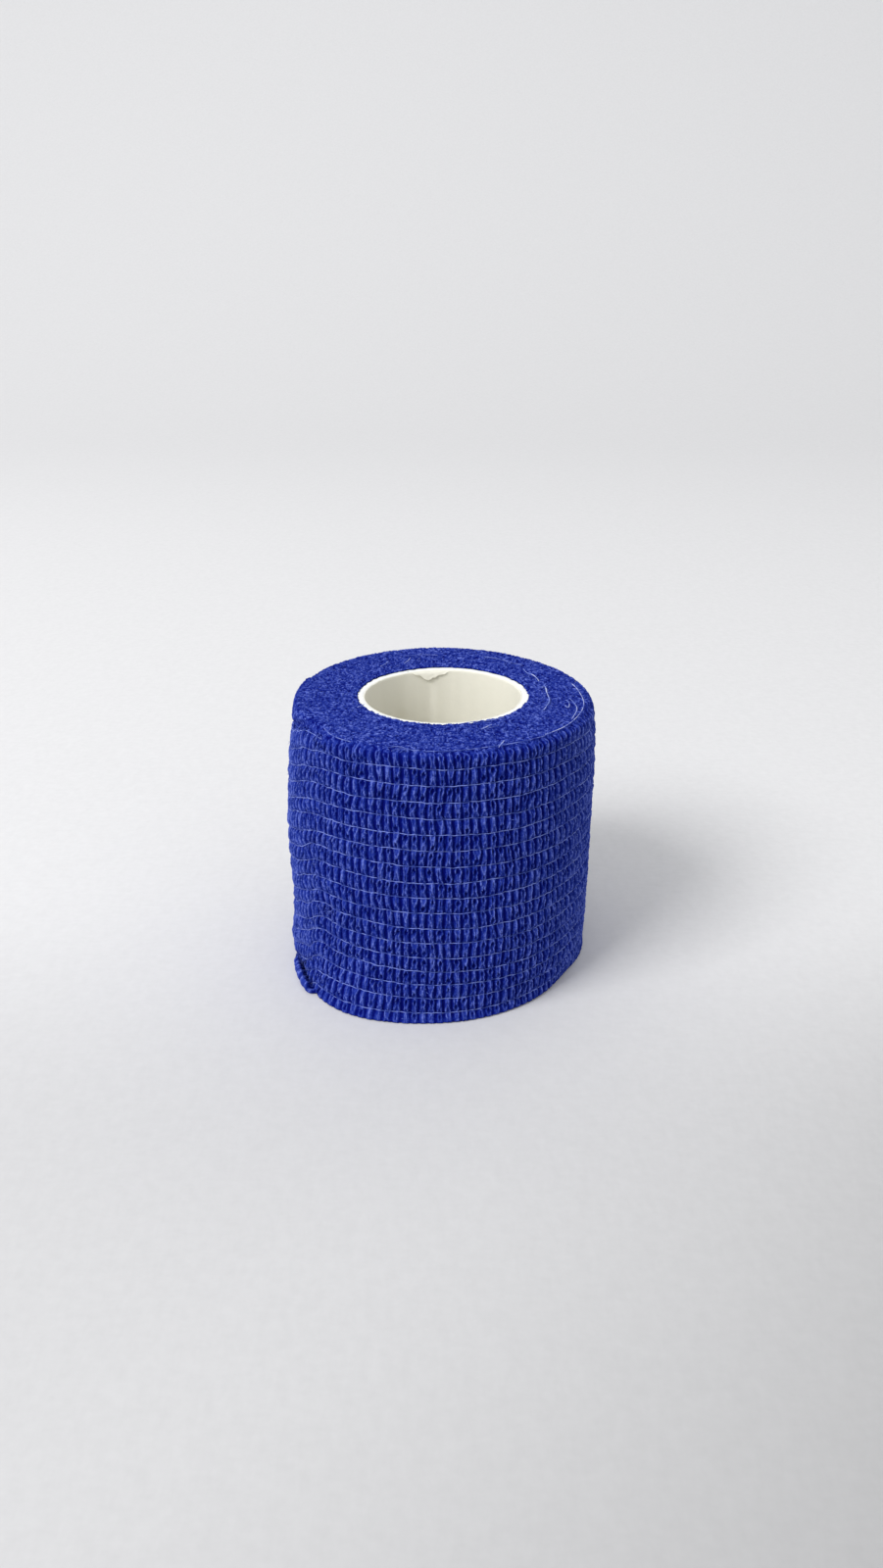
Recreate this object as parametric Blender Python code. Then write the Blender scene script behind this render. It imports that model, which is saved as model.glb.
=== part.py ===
"""A roll of crinkled cohesive bandage on a paperboard tube, standing on its end.

Metres, +Z up. The roll's axis is vertical and z = 0 is the surface it stands on.
Angles are in degrees, counted from +X towards +Y: the front is at 270 and the left
at 180. Seen from above, the strip is wound clockwise and ends just behind the left
side, where its last stretch has slipped down and curls out at the foot.
"""

from collections import namedtuple
from math import cos, exp, pi, radians, sin

import bmesh
import bpy
import numpy as np

# Driving sizes
STRIP_WIDTH = 0.050
CORE_OUTER_RADIUS = 0.0150
CORE_WALL = 0.0014
CORE_LENGTH = 0.0503
GAP = 0.0003
ROLL_RADIUS = 0.0269
LAYER_PITCH = 0.00066

# The barrel of the roll: it is widest below the middle and draws in towards the top
BARREL_HEIGHT = 0.020
BARREL_DRAW_IN = 0.0008

# Elastic threads round the side, and how deep each draws the cloth in
THREADS = 17
TOP_THREAD_HEIGHT = 0.0480
BOTTOM_THREAD_HEIGHT = 0.0021
THREAD_DEPTH = 0.00045

# Rounded shoulder and foot. The shoulder is narrower where the turns have slipped down.
SHOULDER_WIDTH = 0.0015
SHOULDER_LESS_PER_SLIP = 0.10
SHOULDER_DROP = 0.0012
FOOT_ROUND = 0.0005

# The loose end: the last stretch of the strip
LOOSE_START = 217.0
LOOSE_FINISH = 158.0
SHEET_THICKNESS = 0.0011
CURL_RADIUS = 0.00085
CURL_OPENS_OVER = 6.0
CURL_LEG_NEAR = 0.0004
CURL_LEG_FAR = 0.0026
SLIP_STRETCH = 12.0

# Facets
CORE_SIDES = 48
STATION_STEP = 5.0
STEP_ANGLE = 1.0
SHEET_COLUMNS = 14
SHOULDER_POINTS = 5
WALL_THREADS = 13
FOOT_ROWS = 13

# How far the turns have slipped down at each angle. The last row meets the first.
Slip = namedtuple("Slip", "angle drop")
SLIPS = (
    Slip(75, 0.0),
    Slip(100, 0.0015),
    Slip(130, 0.0042),
    Slip(158, 0.0058),
    Slip(188, 0.0060),
    Slip(199, 0.0039),
    Slip(210, 0.0021),
    Slip(225, 0.0010),
    Slip(250, 0.0),
)

# Where the roll swells out or is drawn in. Angles and spreads are in degrees, the rest in metres.
Swell = namedtuple("Swell", "name angle height amount angle_spread height_spread")
SWELLS = (
    Swell("left belly", 190, 0.024, 0.0010, 42, 0.016),
    Swell("left waist", 195, 0.011, -0.0011, 15, 0.0045),
    Swell("left foot under the curl", 192, 0.000, -0.0010, 16, 0.0040),
    Swell("front-left foot", 231, 0.000, 0.0026, 26, 0.0075),
    Swell("right foot", 308, 0.000, -0.0016, 27, 0.0045),
    Swell("far right foot", 345, 0.001, -0.0009, 22, 0.0045),
    Swell("right shoulder", 350, 0.042, 0.0004, 35, 0.010),
    Swell("back", 70, 0.030, -0.0004, 35, 0.020),
)

Finish = namedtuple("Finish", "name colour roughness")
BANDAGE = Finish("crinkled_bandage", (0.026, 0.055, 0.32), 0.9)
PAPERBOARD = Finish("paperboard", (0.80, 0.79, 0.72), 0.75)


def clear_scene() -> None:
    """Remove whatever the scene holds."""
    for thing in list(bpy.data.objects):
        bpy.data.objects.remove(thing, do_unlink=True)


def material(finish: Finish) -> bpy.types.Material:
    """A plain Principled material in the finish's colour."""
    made = bpy.data.materials.new(finish.name)
    made.use_nodes = True
    shader = made.node_tree.nodes["Principled BSDF"]
    shader.inputs["Base Color"].default_value = (*finish.colour, 1.0)
    shader.inputs["Roughness"].default_value = finish.roughness
    shader.inputs["Metallic"].default_value = 0.0
    return made


def turn_between(angle: float, other: float) -> float:
    """The shortest turn from one angle to the other, in degrees, without sign."""
    return abs((angle - other + 180.0) % 360.0 - 180.0)


def slip_at(angle: float) -> float:
    """How far the strip's top edge sits below its place at this angle."""
    return float(np.interp(angle % 360.0, [s.angle for s in SLIPS], [s.drop for s in SLIPS]))


def outer_radius(angle: float, height: float) -> float:
    """The radius of the roll's outer turn, over its puckers, at this angle and height."""
    turned = (angle - LOOSE_FINISH) % 360.0
    radius = ROLL_RADIUS + LAYER_PITCH * (0.5 - turned / 360.0)
    radius -= BARREL_DRAW_IN * ((height - BARREL_HEIGHT) / (STRIP_WIDTH - BARREL_HEIGHT)) ** 2
    for swell in SWELLS:
        across = turn_between(angle, swell.angle) / swell.angle_spread
        along = (height - swell.height) / swell.height_spread
        radius += swell.amount * exp(-across * across - along * along)
    return radius


def thread_heights() -> list[float]:
    """The height of each elastic thread on an even turn, from the top down."""
    return list(np.linspace(TOP_THREAD_HEIGHT, BOTTOM_THREAD_HEIGHT, THREADS))


def side_rows(top: float, bottom: float) -> list[tuple[float, float]]:
    """Heights from top to bottom with the depth of the surface there: a thread, then a pucker's crest."""
    threads = thread_heights()
    reach = (top - bottom) / (STRIP_WIDTH - SHOULDER_DROP)
    heights = [bottom + (height - bottom) * reach for height in threads]
    rows = []
    for here, below in zip(heights, heights[1:] + [None]):
        rows.append((here, THREAD_DEPTH))
        if below is not None:
            rows.append(((here + below) / 2.0, 0.0))
    return rows


def ring_solid(name: str, sections: list, closed_round: bool, finish: Finish) -> bpy.types.Object:
    """A closed solid through sections of the same number of (x, y, z) points, joined in order."""
    shape = bmesh.new()
    loops = [[shape.verts.new(point) for point in section] for section in sections]
    pairs = list(zip(loops, loops[1:]))
    if closed_round:
        pairs.append((loops[-1], loops[0]))
    else:
        shape.faces.new(loops[0])
        shape.faces.new(loops[-1][::-1])
    for here, there in pairs:
        count = len(here)
        for i in range(count):
            following = (i + 1) % count
            shape.faces.new((here[i], there[i], there[following], here[following]))
    bmesh.ops.recalc_face_normals(shape, faces=shape.faces)
    mesh = bpy.data.meshes.new(name)
    shape.to_mesh(mesh)
    shape.free()
    mesh.materials.append(material(finish))
    mesh.shade_smooth()
    mesh.set_sharp_from_angle(angle=radians(50))
    thing = bpy.data.objects.new(name, mesh)
    bpy.context.scene.collection.objects.link(thing)
    return thing


def turned(section: list[tuple[float, float]], angle: float) -> list[tuple[float, float, float]]:
    """Points of (radius, height), placed at an angle round the roll's axis."""
    across, along = cos(radians(angle)), sin(radians(angle))
    return [(radius * across, radius * along, height) for radius, height in section]


def shoulder(angle: float, rim: float, slip: float) -> list[tuple[float, float]]:
    """The rounded or slumped edge from the end face out to the side, as (radius, height)."""
    start = rim - SHOULDER_WIDTH + SHOULDER_LESS_PER_SLIP * slip
    drop = SHOULDER_DROP + slip
    points = []
    for i in range(SHOULDER_POINTS):
        share = i / (SHOULDER_POINTS - 1) * pi / 2.0
        points.append((start + (rim - start) * sin(share), STRIP_WIDTH - drop * (1.0 - cos(share))))
    return points


def roll_section(angle: float, inset: float) -> list[tuple[float, float]]:
    """The wound strip cut at one angle: (radius, height) round the whole section."""
    inner = CORE_OUTER_RADIUS + GAP
    slip = slip_at(angle)
    top = STRIP_WIDTH - SHOULDER_DROP - slip
    rim = outer_radius(angle, top) - inset
    section = [(inner, 0.0), (inner, STRIP_WIDTH)]
    section += shoulder(angle, rim, slip)
    for height, depth in side_rows(top, 0.0):
        section.append((outer_radius(angle, height) - depth - inset, height))
    foot = outer_radius(angle, 0.0) - inset
    section += [(foot, FOOT_ROUND), (foot - FOOT_ROUND, 0.0)]
    return section


def wound_roll() -> bpy.types.Object:
    """The wound strip as one ring, with a shallow bed for the loose end."""
    bed = SHEET_THICKNESS + GAP
    bed_end = LOOSE_FINISH - STEP_ANGLE
    stations = [(angle, bed) for angle in np.arange(LOOSE_START, bed_end, -STATION_STEP)]
    stations.append((bed_end, bed))
    first = bed_end - STEP_ANGLE
    last = LOOSE_START + STEP_ANGLE - 360.0
    for angle in np.linspace(first, last, round((first - last) / STATION_STEP) + 1):
        stations.append((angle, 0.0))
    sections = [turned(roll_section(angle, inset), angle) for angle, inset in stations]
    return ring_solid("wound_roll", sections, True, BANDAGE)


def curl_foot(angle: float) -> tuple[float, float, float]:
    """How the sheet's foot curls at this angle: sweep in radians, centre height and straight leg."""
    opened = min(1.0, (LOOSE_START - angle) / CURL_OPENS_OVER)
    sweep = pi * opened
    centre = (CURL_RADIUS + SHEET_THICKNESS / 2.0) * sin(min(sweep, pi / 2.0))
    share = (LOOSE_START - angle) / (LOOSE_START - LOOSE_FINISH)
    leg = opened * (CURL_LEG_NEAR + (CURL_LEG_FAR - CURL_LEG_NEAR) * share)
    return sweep, centre, leg


def strip_point(angle: float, along: float) -> tuple[float, float, float]:
    """The middle of the sheet at a distance down from its top edge: radius, height and lean."""
    sweep, centre, _ = curl_foot(angle)
    top = STRIP_WIDTH - SHOULDER_DROP - slip_at(angle)
    height = top - along
    half = SHEET_THICKNESS / 2.0
    if height >= centre:
        return outer_radius(angle, height) - half, height, 0.0
    wall = outer_radius(angle, centre) - half
    past = centre - height
    lean = min(past / CURL_RADIUS, sweep)
    straight = past - lean * CURL_RADIUS
    radius = wall + CURL_RADIUS * (1.0 - cos(lean)) + straight * sin(lean)
    return radius, centre - CURL_RADIUS * sin(lean) - straight * cos(lean), lean


def sheet_rows(angle: float) -> list[tuple[float, float]]:
    """Distances down the sheet from its top edge, each with the depth of the surface there."""
    slip = slip_at(angle)
    pitch = (TOP_THREAD_HEIGHT - BOTTOM_THREAD_HEIGHT) / (THREADS - 1)
    pitch *= 1.0 + SLIP_STRETCH * slip
    first = STRIP_WIDTH - SHOULDER_DROP - TOP_THREAD_HEIGHT
    rows = [(0.0, THREAD_DEPTH)]
    for thread in range(WALL_THREADS):
        rows.append((first + pitch * thread, THREAD_DEPTH))
        rows.append((first + pitch * (thread + 0.5), 0.0))
    sweep, centre, leg = curl_foot(angle)
    finish = STRIP_WIDTH - SHOULDER_DROP - slip - centre + sweep * CURL_RADIUS + leg
    start = first + pitch * WALL_THREADS
    for along in np.linspace(start, finish, FOOT_ROWS):
        row = (along - first) / pitch
        rows.append((along, THREAD_DEPTH * (0.5 + 0.5 * cos(2.0 * pi * row))))
    return rows


def sheet_section(angle: float) -> list[tuple[float, float]]:
    """The loose end cut at one angle: (radius, height) round the whole section."""
    half = SHEET_THICKNESS / 2.0
    outside = []
    inside = []
    for along, depth in sheet_rows(angle):
        radius, height, lean = strip_point(angle, along)
        out_r, out_z = cos(lean), sin(lean)
        outside.append((radius + (half - depth) * out_r, height + (half - depth) * out_z))
        inside.append((radius - half * out_r, max(height - half * out_z, 0.0)))
    return outside + inside[::-1]


def loose_end() -> bpy.types.Object:
    """The last stretch of the strip, lying on the roll and curling out at its foot."""
    start = LOOSE_START - STEP_ANGLE / 2.0
    angles = np.linspace(start, LOOSE_FINISH, SHEET_COLUMNS + 1)
    sections = [turned(sheet_section(angle), angle) for angle in angles]
    return ring_solid("loose_end", sections, False, BANDAGE)


def core_tube() -> bpy.types.Object:
    """The paperboard tube that the strip is wound on."""
    inner = CORE_OUTER_RADIUS - CORE_WALL
    section = [(inner, 0.0), (inner, CORE_LENGTH), (CORE_OUTER_RADIUS, CORE_LENGTH), (CORE_OUTER_RADIUS, 0.0)]
    angles = np.arange(CORE_SIDES) * 360.0 / CORE_SIDES
    sections = [turned(section, angle) for angle in angles]
    return ring_solid("core_tube", sections, True, PAPERBOARD)


def centre_footprint(things: list[bpy.types.Object]) -> None:
    """Move the whole object so that the middle of its footprint stands at the origin."""
    points = np.array([vertex.co for thing in things for vertex in thing.data.vertices])
    low, high = points.min(axis=0), points.max(axis=0)
    for thing in things:
        thing.location = (-(low[0] + high[0]) / 2.0, -(low[1] + high[1]) / 2.0, 0.0)


def main() -> None:
    """Build the tube, the wound strip and its loose end."""
    clear_scene()
    centre_footprint([core_tube(), wound_roll(), loose_end()])


main()
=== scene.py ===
"""The looks of a cohesive bandage roll that stands on its end on a pale surface.

A crinkled blue strip is wound on a paperboard tube. Fine elastic threads run round it and
gather its web into rows of small puckers, and the edges of its turns make a crumbly end
face. Lengths inside the classes are millimetres and angles are degrees, counted from +X
towards +Y, so that the front is at 270 and the left at 180. Meshes are made in metres.
"""

import logging
import math
from dataclasses import dataclass
from enum import Enum, IntEnum

import bpy
import numpy as np
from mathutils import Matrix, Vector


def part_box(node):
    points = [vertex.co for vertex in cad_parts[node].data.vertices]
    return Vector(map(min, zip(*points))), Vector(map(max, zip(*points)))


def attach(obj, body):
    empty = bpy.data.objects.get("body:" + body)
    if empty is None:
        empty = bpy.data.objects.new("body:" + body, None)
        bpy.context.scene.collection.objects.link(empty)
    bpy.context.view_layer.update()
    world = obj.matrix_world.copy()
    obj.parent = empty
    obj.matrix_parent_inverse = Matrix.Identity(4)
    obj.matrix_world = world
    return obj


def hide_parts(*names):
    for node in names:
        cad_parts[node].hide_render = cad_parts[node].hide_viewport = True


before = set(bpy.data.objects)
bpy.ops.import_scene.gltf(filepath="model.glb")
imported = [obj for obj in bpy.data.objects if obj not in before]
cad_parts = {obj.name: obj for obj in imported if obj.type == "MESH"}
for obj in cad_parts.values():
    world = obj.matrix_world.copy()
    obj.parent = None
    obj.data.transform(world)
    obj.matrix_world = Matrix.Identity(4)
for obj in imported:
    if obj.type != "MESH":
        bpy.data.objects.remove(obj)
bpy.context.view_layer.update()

MM = 0.001
# Vertex mask of painted light: painted highlight on crests and crumb curls, painted shade in valleys, pits
# and crumb pits.
BODY = "root"
CREST_PAINTED_LIGHT = "crest"
CAP_ANGLE = 82.0
WELD = 1e-7
HAIR = 1e-6
EDGE_MARGIN = 1e-4
FOUR_SIDES = 0
SIX_SIDES = 1
LOOSE_RIBS = 19
TUBE_SQUASH = 0.925

log = logging.getLogger("bandage_roll")


class Seed(IntEnum):
    """What each draw of threads and fibres starts from, so that every run makes the same."""

    THREAD_TAILS = 63
    FAINT_THREADS = 70
    STRAY_THREADS = 71
    END_FIBRES = 72
    SIDE_FIBRES = 73


class Weave(Enum):
    """Each noise that runs round the roll: what it starts from, and its cells in a full turn."""

    RIM_FUZZ = (12, 120)
    RIM_SWAY = (13, 9)
    TEAR_EDGE = (14, 150)
    TEAR_FACE = (15, 110)
    SLOW_THREAD = (56, 40)
    QUICK_THREAD = (57, 116)
    THREAD_JOG = (58, 232)
    FOLD_SWAY = (58, 116)
    FOLD_EDGE = (59, 232)
    CRUMPLE = (60, 464)
    SLOW_WANDER = (62, 24)
    QUICK_WANDER = (63, 58)
    SLOW_BOB = (72, 22)
    QUICK_BOB = (73, 116)
    CRUMB_EDGE = (91, 150)
    BEADS = (92, 60)
    BORE_EDGE = (93, 170)

    def __init__(self, seed: int, cells: int) -> None:
        """Keep the two numbers by name."""
        self.seed = seed
        self.cells = cells

    def at(self, turn: np.ndarray, along: np.ndarray | float = 0.0) -> np.ndarray:
        """The noise, from -1 to 1.

        Args:
            turn: Place round the roll; a whole number is a full turn.
            along: Place across the strip, one lattice cell for each unit.

        Returns:
            One number for each place.
        """
        return LatticeNoise(self.seed).around(turn, along, self.cells)


def smooth_step(value: np.ndarray) -> np.ndarray:
    """Ease from 0 to 1 as value goes from 0 to 1.

    Args:
        value: Any numbers; those outside 0 to 1 are held at the ends.

    Returns:
        The eased numbers.
    """
    held = np.clip(value, 0.0, 1.0)
    return held * held * (3.0 - 2.0 * held)


def bell(value: np.ndarray) -> np.ndarray:
    """A bell curve, 1 at zero."""
    return np.exp(-value * value)


def angle_between(angle: np.ndarray, other: float) -> np.ndarray:
    """The shortest turn from other to angle, in degrees, with its sign."""
    return (angle - other + 180.0) % 360.0 - 180.0


@dataclass(frozen=True)
class LatticeNoise:
    """Smooth noise between seeded random numbers on a lattice, the same on every run."""

    seed: int
    cells: int = 48

    def _table(self, shape: tuple[int, ...]) -> np.ndarray:
        """The lattice's random numbers, from -1 to 1."""
        return np.random.default_rng(self.seed).uniform(-1.0, 1.0, shape)

    def space(self, points: np.ndarray, grain: float) -> np.ndarray:
        """Noise at points in space.

        Args:
            points: Points along the last axis, in millimetres.
            grain: The size of one lattice cell, in millimetres.

        Returns:
            One number from -1 to 1 for each point.
        """
        table = self._table((self.cells,) * 3)
        place = points / grain
        corner = np.floor(place).astype(int)
        share = smooth_step(place - corner)
        total = np.zeros(points.shape[:-1])
        for step in np.ndindex(2, 2, 2):
            weight = np.ones(points.shape[:-1])
            index = []
            for axis in range(3):
                part = share[..., axis]
                weight = weight * (part if step[axis] else 1.0 - part)
                index.append((corner[..., axis] + step[axis]) % self.cells)
            total += weight * table[tuple(index)]
        return total

    def around(self, turn: np.ndarray, along: np.ndarray, cells: int) -> np.ndarray:
        """Noise on a strip that closes on itself.

        Args:
            turn: Place round the strip; a whole number is a full turn.
            along: Place across the strip, one lattice cell for each unit.
            cells: How many lattice cells a full turn has.

        Returns:
            One number from -1 to 1 for each place.
        """
        turn, along = np.broadcast_arrays(turn, along)
        table = self._table((cells, self.cells))
        across = turn * cells
        column, row = np.floor(across).astype(int), np.floor(along).astype(int)
        a, b = smooth_step(across - column), smooth_step(along - row)
        near, far = column % cells, (column + 1) % cells
        top, low = row % self.cells, (row + 1) % self.cells
        upper = table[near, top] * (1.0 - a) + table[far, top] * a
        lower = table[near, low] * (1.0 - a) + table[far, low] * a
        return upper * (1.0 - b) + lower * b


@dataclass(frozen=True)
class Swell:
    """A place where the roll swells out, or is drawn in where its amount is negative."""

    angle: float
    height: float
    amount: float
    angle_spread: float
    height_spread: float


@dataclass(frozen=True)
class Slip:
    """How far the outer turn's top edge has slipped down at an angle."""

    angle: float
    drop: float


@dataclass(frozen=True)
class RollForm:
    """The main form of the wound strip: its barrel, swells, shoulder and slipped turns."""

    strip_width: float = 50.0
    radius: float = 26.9
    layer_pitch: float = 0.66
    barrel_height: float = 20.0
    barrel_draw_in: float = 0.8
    shoulder_width: float = 1.8
    shoulder_less_per_slip: float = 0.10
    shoulder_drop: float = 1.2
    lean_per_slip: float = 0.05
    tuck: float = 0.70
    tuck_angle: float = 213.0
    tuck_spread: float = 6.0
    loose_start: float = 221.0
    loose_finish: float = 162.0
    bed_depth: float = 1.15
    foot_lift: float = 0.15
    foot_lift_angle: float = 320.0
    foot_lift_spread: float = 30.0
    swells: tuple[Swell, ...] = (
        Swell(190, 24.0, 1.0, 42, 16.0),
        Swell(186, 6.5, 0.6, 12, 4.0),
        Swell(184, 0.0, 0.8, 10, 4.5),
        Swell(330, 0.0, -1.0, 14, 1.8),
        Swell(187, 3.5, 0.5, 9, 2.5),
        Swell(202, 0.0, -0.3, 9, 3.0),
        Swell(150, 50.0, 0.6, 20, 6.0),
        Swell(40, 50.0, -0.8, 35, 6.0),
        Swell(223, 16.0, -0.5, 3.5, 5.0),
        Swell(231, 0.0, 2.6, 26, 7.5),
        Swell(250, 0.0, 0.45, 250, 3.0),
        Swell(308, 0.0, -0.8, 27, 4.5),
        Swell(345, 1.0, -0.2, 22, 4.5),
        Swell(350, 42.0, 0.4, 35, 10.0),
        Swell(70, 30.0, -0.4, 35, 20.0),
    )
    slips: tuple[Slip, ...] = (
        Slip(0, 1.2),
        Slip(30, 1.6),
        Slip(55, 1.3),
        Slip(80, 0.8),
        Slip(100, 1.5),
        Slip(130, 4.2),
        Slip(158, 5.8),
        Slip(188, 6.0),
        Slip(199, 3.9),
        Slip(210, 2.1),
        Slip(225, 1.0),
        Slip(250, 0.0),
        Slip(325, 0.0),
        Slip(350, 0.8),
    )
    slip_ease: float = 4.0
    slip_reach: int = 12
    bare_above: float = 2.6
    bare_over: float = 1.5
    bare_inset: float = 0.45

    def slip(self, angle: np.ndarray) -> np.ndarray:
        """How far the outer turn has slipped down at each angle, eased between the rows of slips."""
        degrees = np.arange(360.0)
        drops = np.interp(degrees, [s.angle for s in self.slips], [s.drop for s in self.slips])
        offsets = np.arange(-self.slip_reach, self.slip_reach + 1)
        weights = bell(offsets / self.slip_ease)
        eased = sum(w * np.roll(drops, o) for w, o in zip(weights, offsets)) / weights.sum()
        return np.interp(angle % 360.0, np.arange(361.0), np.append(eased, eased[0]))

    def outer_radius(self, angle: np.ndarray, height: np.ndarray) -> np.ndarray:
        """The radius over the puckers of the outer turn at each angle and height."""
        turned = (angle - self.loose_finish - HAIR) % 360.0
        radius = self.radius + self.layer_pitch * (0.5 - turned / 360.0)
        reach = self.strip_width - self.barrel_height
        radius = radius - self.barrel_draw_in * ((height - self.barrel_height) / reach) ** 2
        for swell in self.swells:
            across = angle_between(angle, swell.angle) / swell.angle_spread
            along = (height - swell.height) / swell.height_spread
            radius = radius + swell.amount * bell(across) * bell(along)
        return radius

    def shoulder_height(self, angle: np.ndarray) -> np.ndarray:
        """The height where the side ends and the shoulder begins."""
        return self.strip_width - self.shoulder_drop - self.slip(angle)

    def inset_at(self, inset: np.ndarray, above: np.ndarray) -> np.ndarray:
        """A covered turn's inset, which eases where the turn shows above the loose end.

        Args:
            inset: The inset under the loose end.
            above: Height above the start of the shoulder.

        Returns:
            The inset at that height.
        """
        bared = smooth_step((above - self.bare_above) / self.bare_over)
        return inset * (1.0 - (1.0 - self.bare_inset) * bared)

    def lean(self, angle: np.ndarray) -> np.ndarray:
        """How far the outer turn's top edge leans in: more where it has slipped, and at one tuck."""
        tucked = self.tuck * bell(angle_between(angle, self.tuck_angle) / self.tuck_spread)
        return self.lean_per_slip * self.slip(angle) + tucked

    def lift(self, angle: np.ndarray) -> np.ndarray:
        """How far the foot stands clear of the surface."""
        return self.foot_lift * bell(angle_between(angle, self.foot_lift_angle) / self.foot_lift_spread)

    def shoulder_arc(self, angle: np.ndarray, inset: np.ndarray, count: int = 48) -> tuple:
        """The shoulder at each angle, from the side up and in to the end face.

        Args:
            angle: Angles, one for each column of the mesh.
            inset: How far each column's surface lies inside the outer turn.
            count: Points along each arc.

        Returns:
            Arrays of length along the arc, radius and height, each of columns by points.
        """
        slip = self.slip(angle)[:, None]
        width = self.shoulder_width - self.shoulder_less_per_slip * slip
        drop = self.shoulder_drop + slip
        rim = self.outer_radius(angle, self.shoulder_height(angle))[:, None]
        share = np.linspace(math.pi / 2.0, 0.0, count)[None, :]
        height = self.strip_width - drop * (1.0 - np.cos(share))
        above = height - self.strip_width + drop
        radius = rim - width * (1.0 - np.sin(share)) - self.inset_at(inset[:, None], above)
        steps = np.hypot(np.diff(radius, axis=1), np.diff(height, axis=1))
        length = np.concatenate([np.zeros_like(slip), np.cumsum(steps, axis=1)], axis=1)
        return length, radius, height


@dataclass(frozen=True)
class Puckers:
    """The web's relief between its elastic threads, rib by rib and row by row."""

    ribs: int = 116
    rows: int = 18
    depth: float = 0.62
    bulge: float = 0.28
    least_half: float = 0.335
    flank: float = 0.11
    ridge_width: float = 0.062
    face_level: float = 0.60
    upper_eyes: float = 0.70
    eye_place: float = 0.27
    eye_reach: float = 0.175
    eye_parting: float = 0.25
    pit_depth: float = 0.85
    opens_from: float = 0.46
    opens_over: float = 0.42
    sway: float = 0.06
    edge_sway: float = 0.05
    past_ridge: float = 0.12
    thread_fill: float = 0.22
    pinch: float = 0.34
    pinch_reach: float = 0.14
    crumple: float = 0.15
    seed: int = 41

    def noise(self, kind: Weave, rib: np.ndarray, along: np.ndarray) -> np.ndarray:
        """Noise on the strip, at places in ribs round it and in lattice cells across it."""
        return kind.at(rib / self.ribs, along)

    def _cells(self, number: int, low: float, high: float) -> np.ndarray:
        """One random number for each rib and row."""
        return np.random.default_rng(self.seed + number).uniform(low, high, (self.ribs, self.rows + 2))

    def relief(self, rib: np.ndarray, row: np.ndarray) -> tuple[np.ndarray, np.ndarray]:
        """How deep each point lies under the highest crest, and how much of a crest it is.

        Each rib is a flat-topped fold with a fine ridge along each edge. The ridges part
        round an eye, a small pit near a thread, close under it and open out again. The crest
        mask is painted light: painted highlight on the face and ridges, painted shade in the
        valleys and in the pit.

        Args:
            rib: Place round the roll, in ribs; a whole number is a valley.
            row: Place down the strip, in rows; a whole number is a thread.

        Returns:
            The depth in millimetres, and the crest mask from 0 to 1, which is painted highlight where high
            and painted shade where low.
        """
        rib, row = np.broadcast_arrays(rib, row)
        i = np.floor(rib + 1e-9).astype(int) % self.ribs
        k = np.clip(np.floor(row + 1e-9).astype(int) + 1, 0, self.rows + 1)
        inside = np.clip(row - np.floor(row + 1e-9), 0.0, 1.0)
        from_eye = np.where(self._cells(1, 0.0, 1.0)[i, k] > self.upper_eyes, 1.0 - inside, inside)
        eye_place = self.eye_place + self._cells(2, -0.06, 0.09)[i, k]
        eye_size = np.clip(self._cells(3, -0.25, 1.35)[i, k], 0.0, 1.0)
        opened = self._cells(4, 0.15, 0.27)[i, k]
        tall = self._cells(5, 0.82, 1.06)[i, k]
        lean = self._cells(6, -0.18, 0.26)[i, k]
        closed = self._cells(7, 0.02, 0.07)[i, k]
        swayed = self.noise(Weave.FOLD_SWAY, rib, row * 1.6)
        edge_noise = self.noise(Weave.FOLD_EDGE, rib, row * 3.1)
        fine = self.noise(Weave.CRUMPLE, rib, row * 6.0)
        across = rib - np.floor(rib + 1e-9) - 0.5 - self.sway * swayed
        eye = eye_size * bell((from_eye - eye_place) / self.eye_reach)
        spread = opened * smooth_step((from_eye - self.opens_from) / self.opens_over)
        offset = closed + self.eye_parting * eye + spread
        # The left ridge is made stronger than the right: it stands higher and, through the crest mask, is
        # painted paler as painted light from the left.
        left = bell((across + offset) / self.ridge_width) * (1.0 + 0.5 * lean)
        right = bell((across - offset) / self.ridge_width) * (0.82 - 0.5 * lean)
        ridge = np.maximum(left, right)
        edge = np.maximum(self.least_half, offset + self.past_ridge) + self.edge_sway * edge_noise
        plateau = smooth_step((edge - np.abs(across)) / self.flank + 0.5)
        pit = eye * bell((across / (0.72 * offset + 0.02)) ** 2)
        height = self.face_level * plateau + (1.0 - self.face_level) * ridge - self.pit_depth * pit
        height = height + self.crumple * fine * (0.35 + 0.65 * plateau)
        near = np.minimum(inside, 1.0 - inside)
        height = height * (1.0 - self.pinch * (1.0 - smooth_step(near / self.pinch_reach)))
        height = np.maximum(height, self.thread_fill * bell(near / self.pinch_reach)) * tall
        arched = 1.0 - np.sin(math.pi * inside) ** 0.7
        depth = self.depth * (1.0 - np.clip(height, 0.0, 1.1)) + self.bulge * arched
        # Painted light: the mask is high on the face and ridges as painted highlight and low in the valleys
        # and pits as painted shade; the fine crumple adds random tone.
        crest = 0.04 + 0.47 * plateau + 0.45 * ridge - 0.48 * pit + 0.22 * fine
        return depth, np.clip(crest * (0.75 + 0.25 * tall), 0.0, 1.0)


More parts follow.
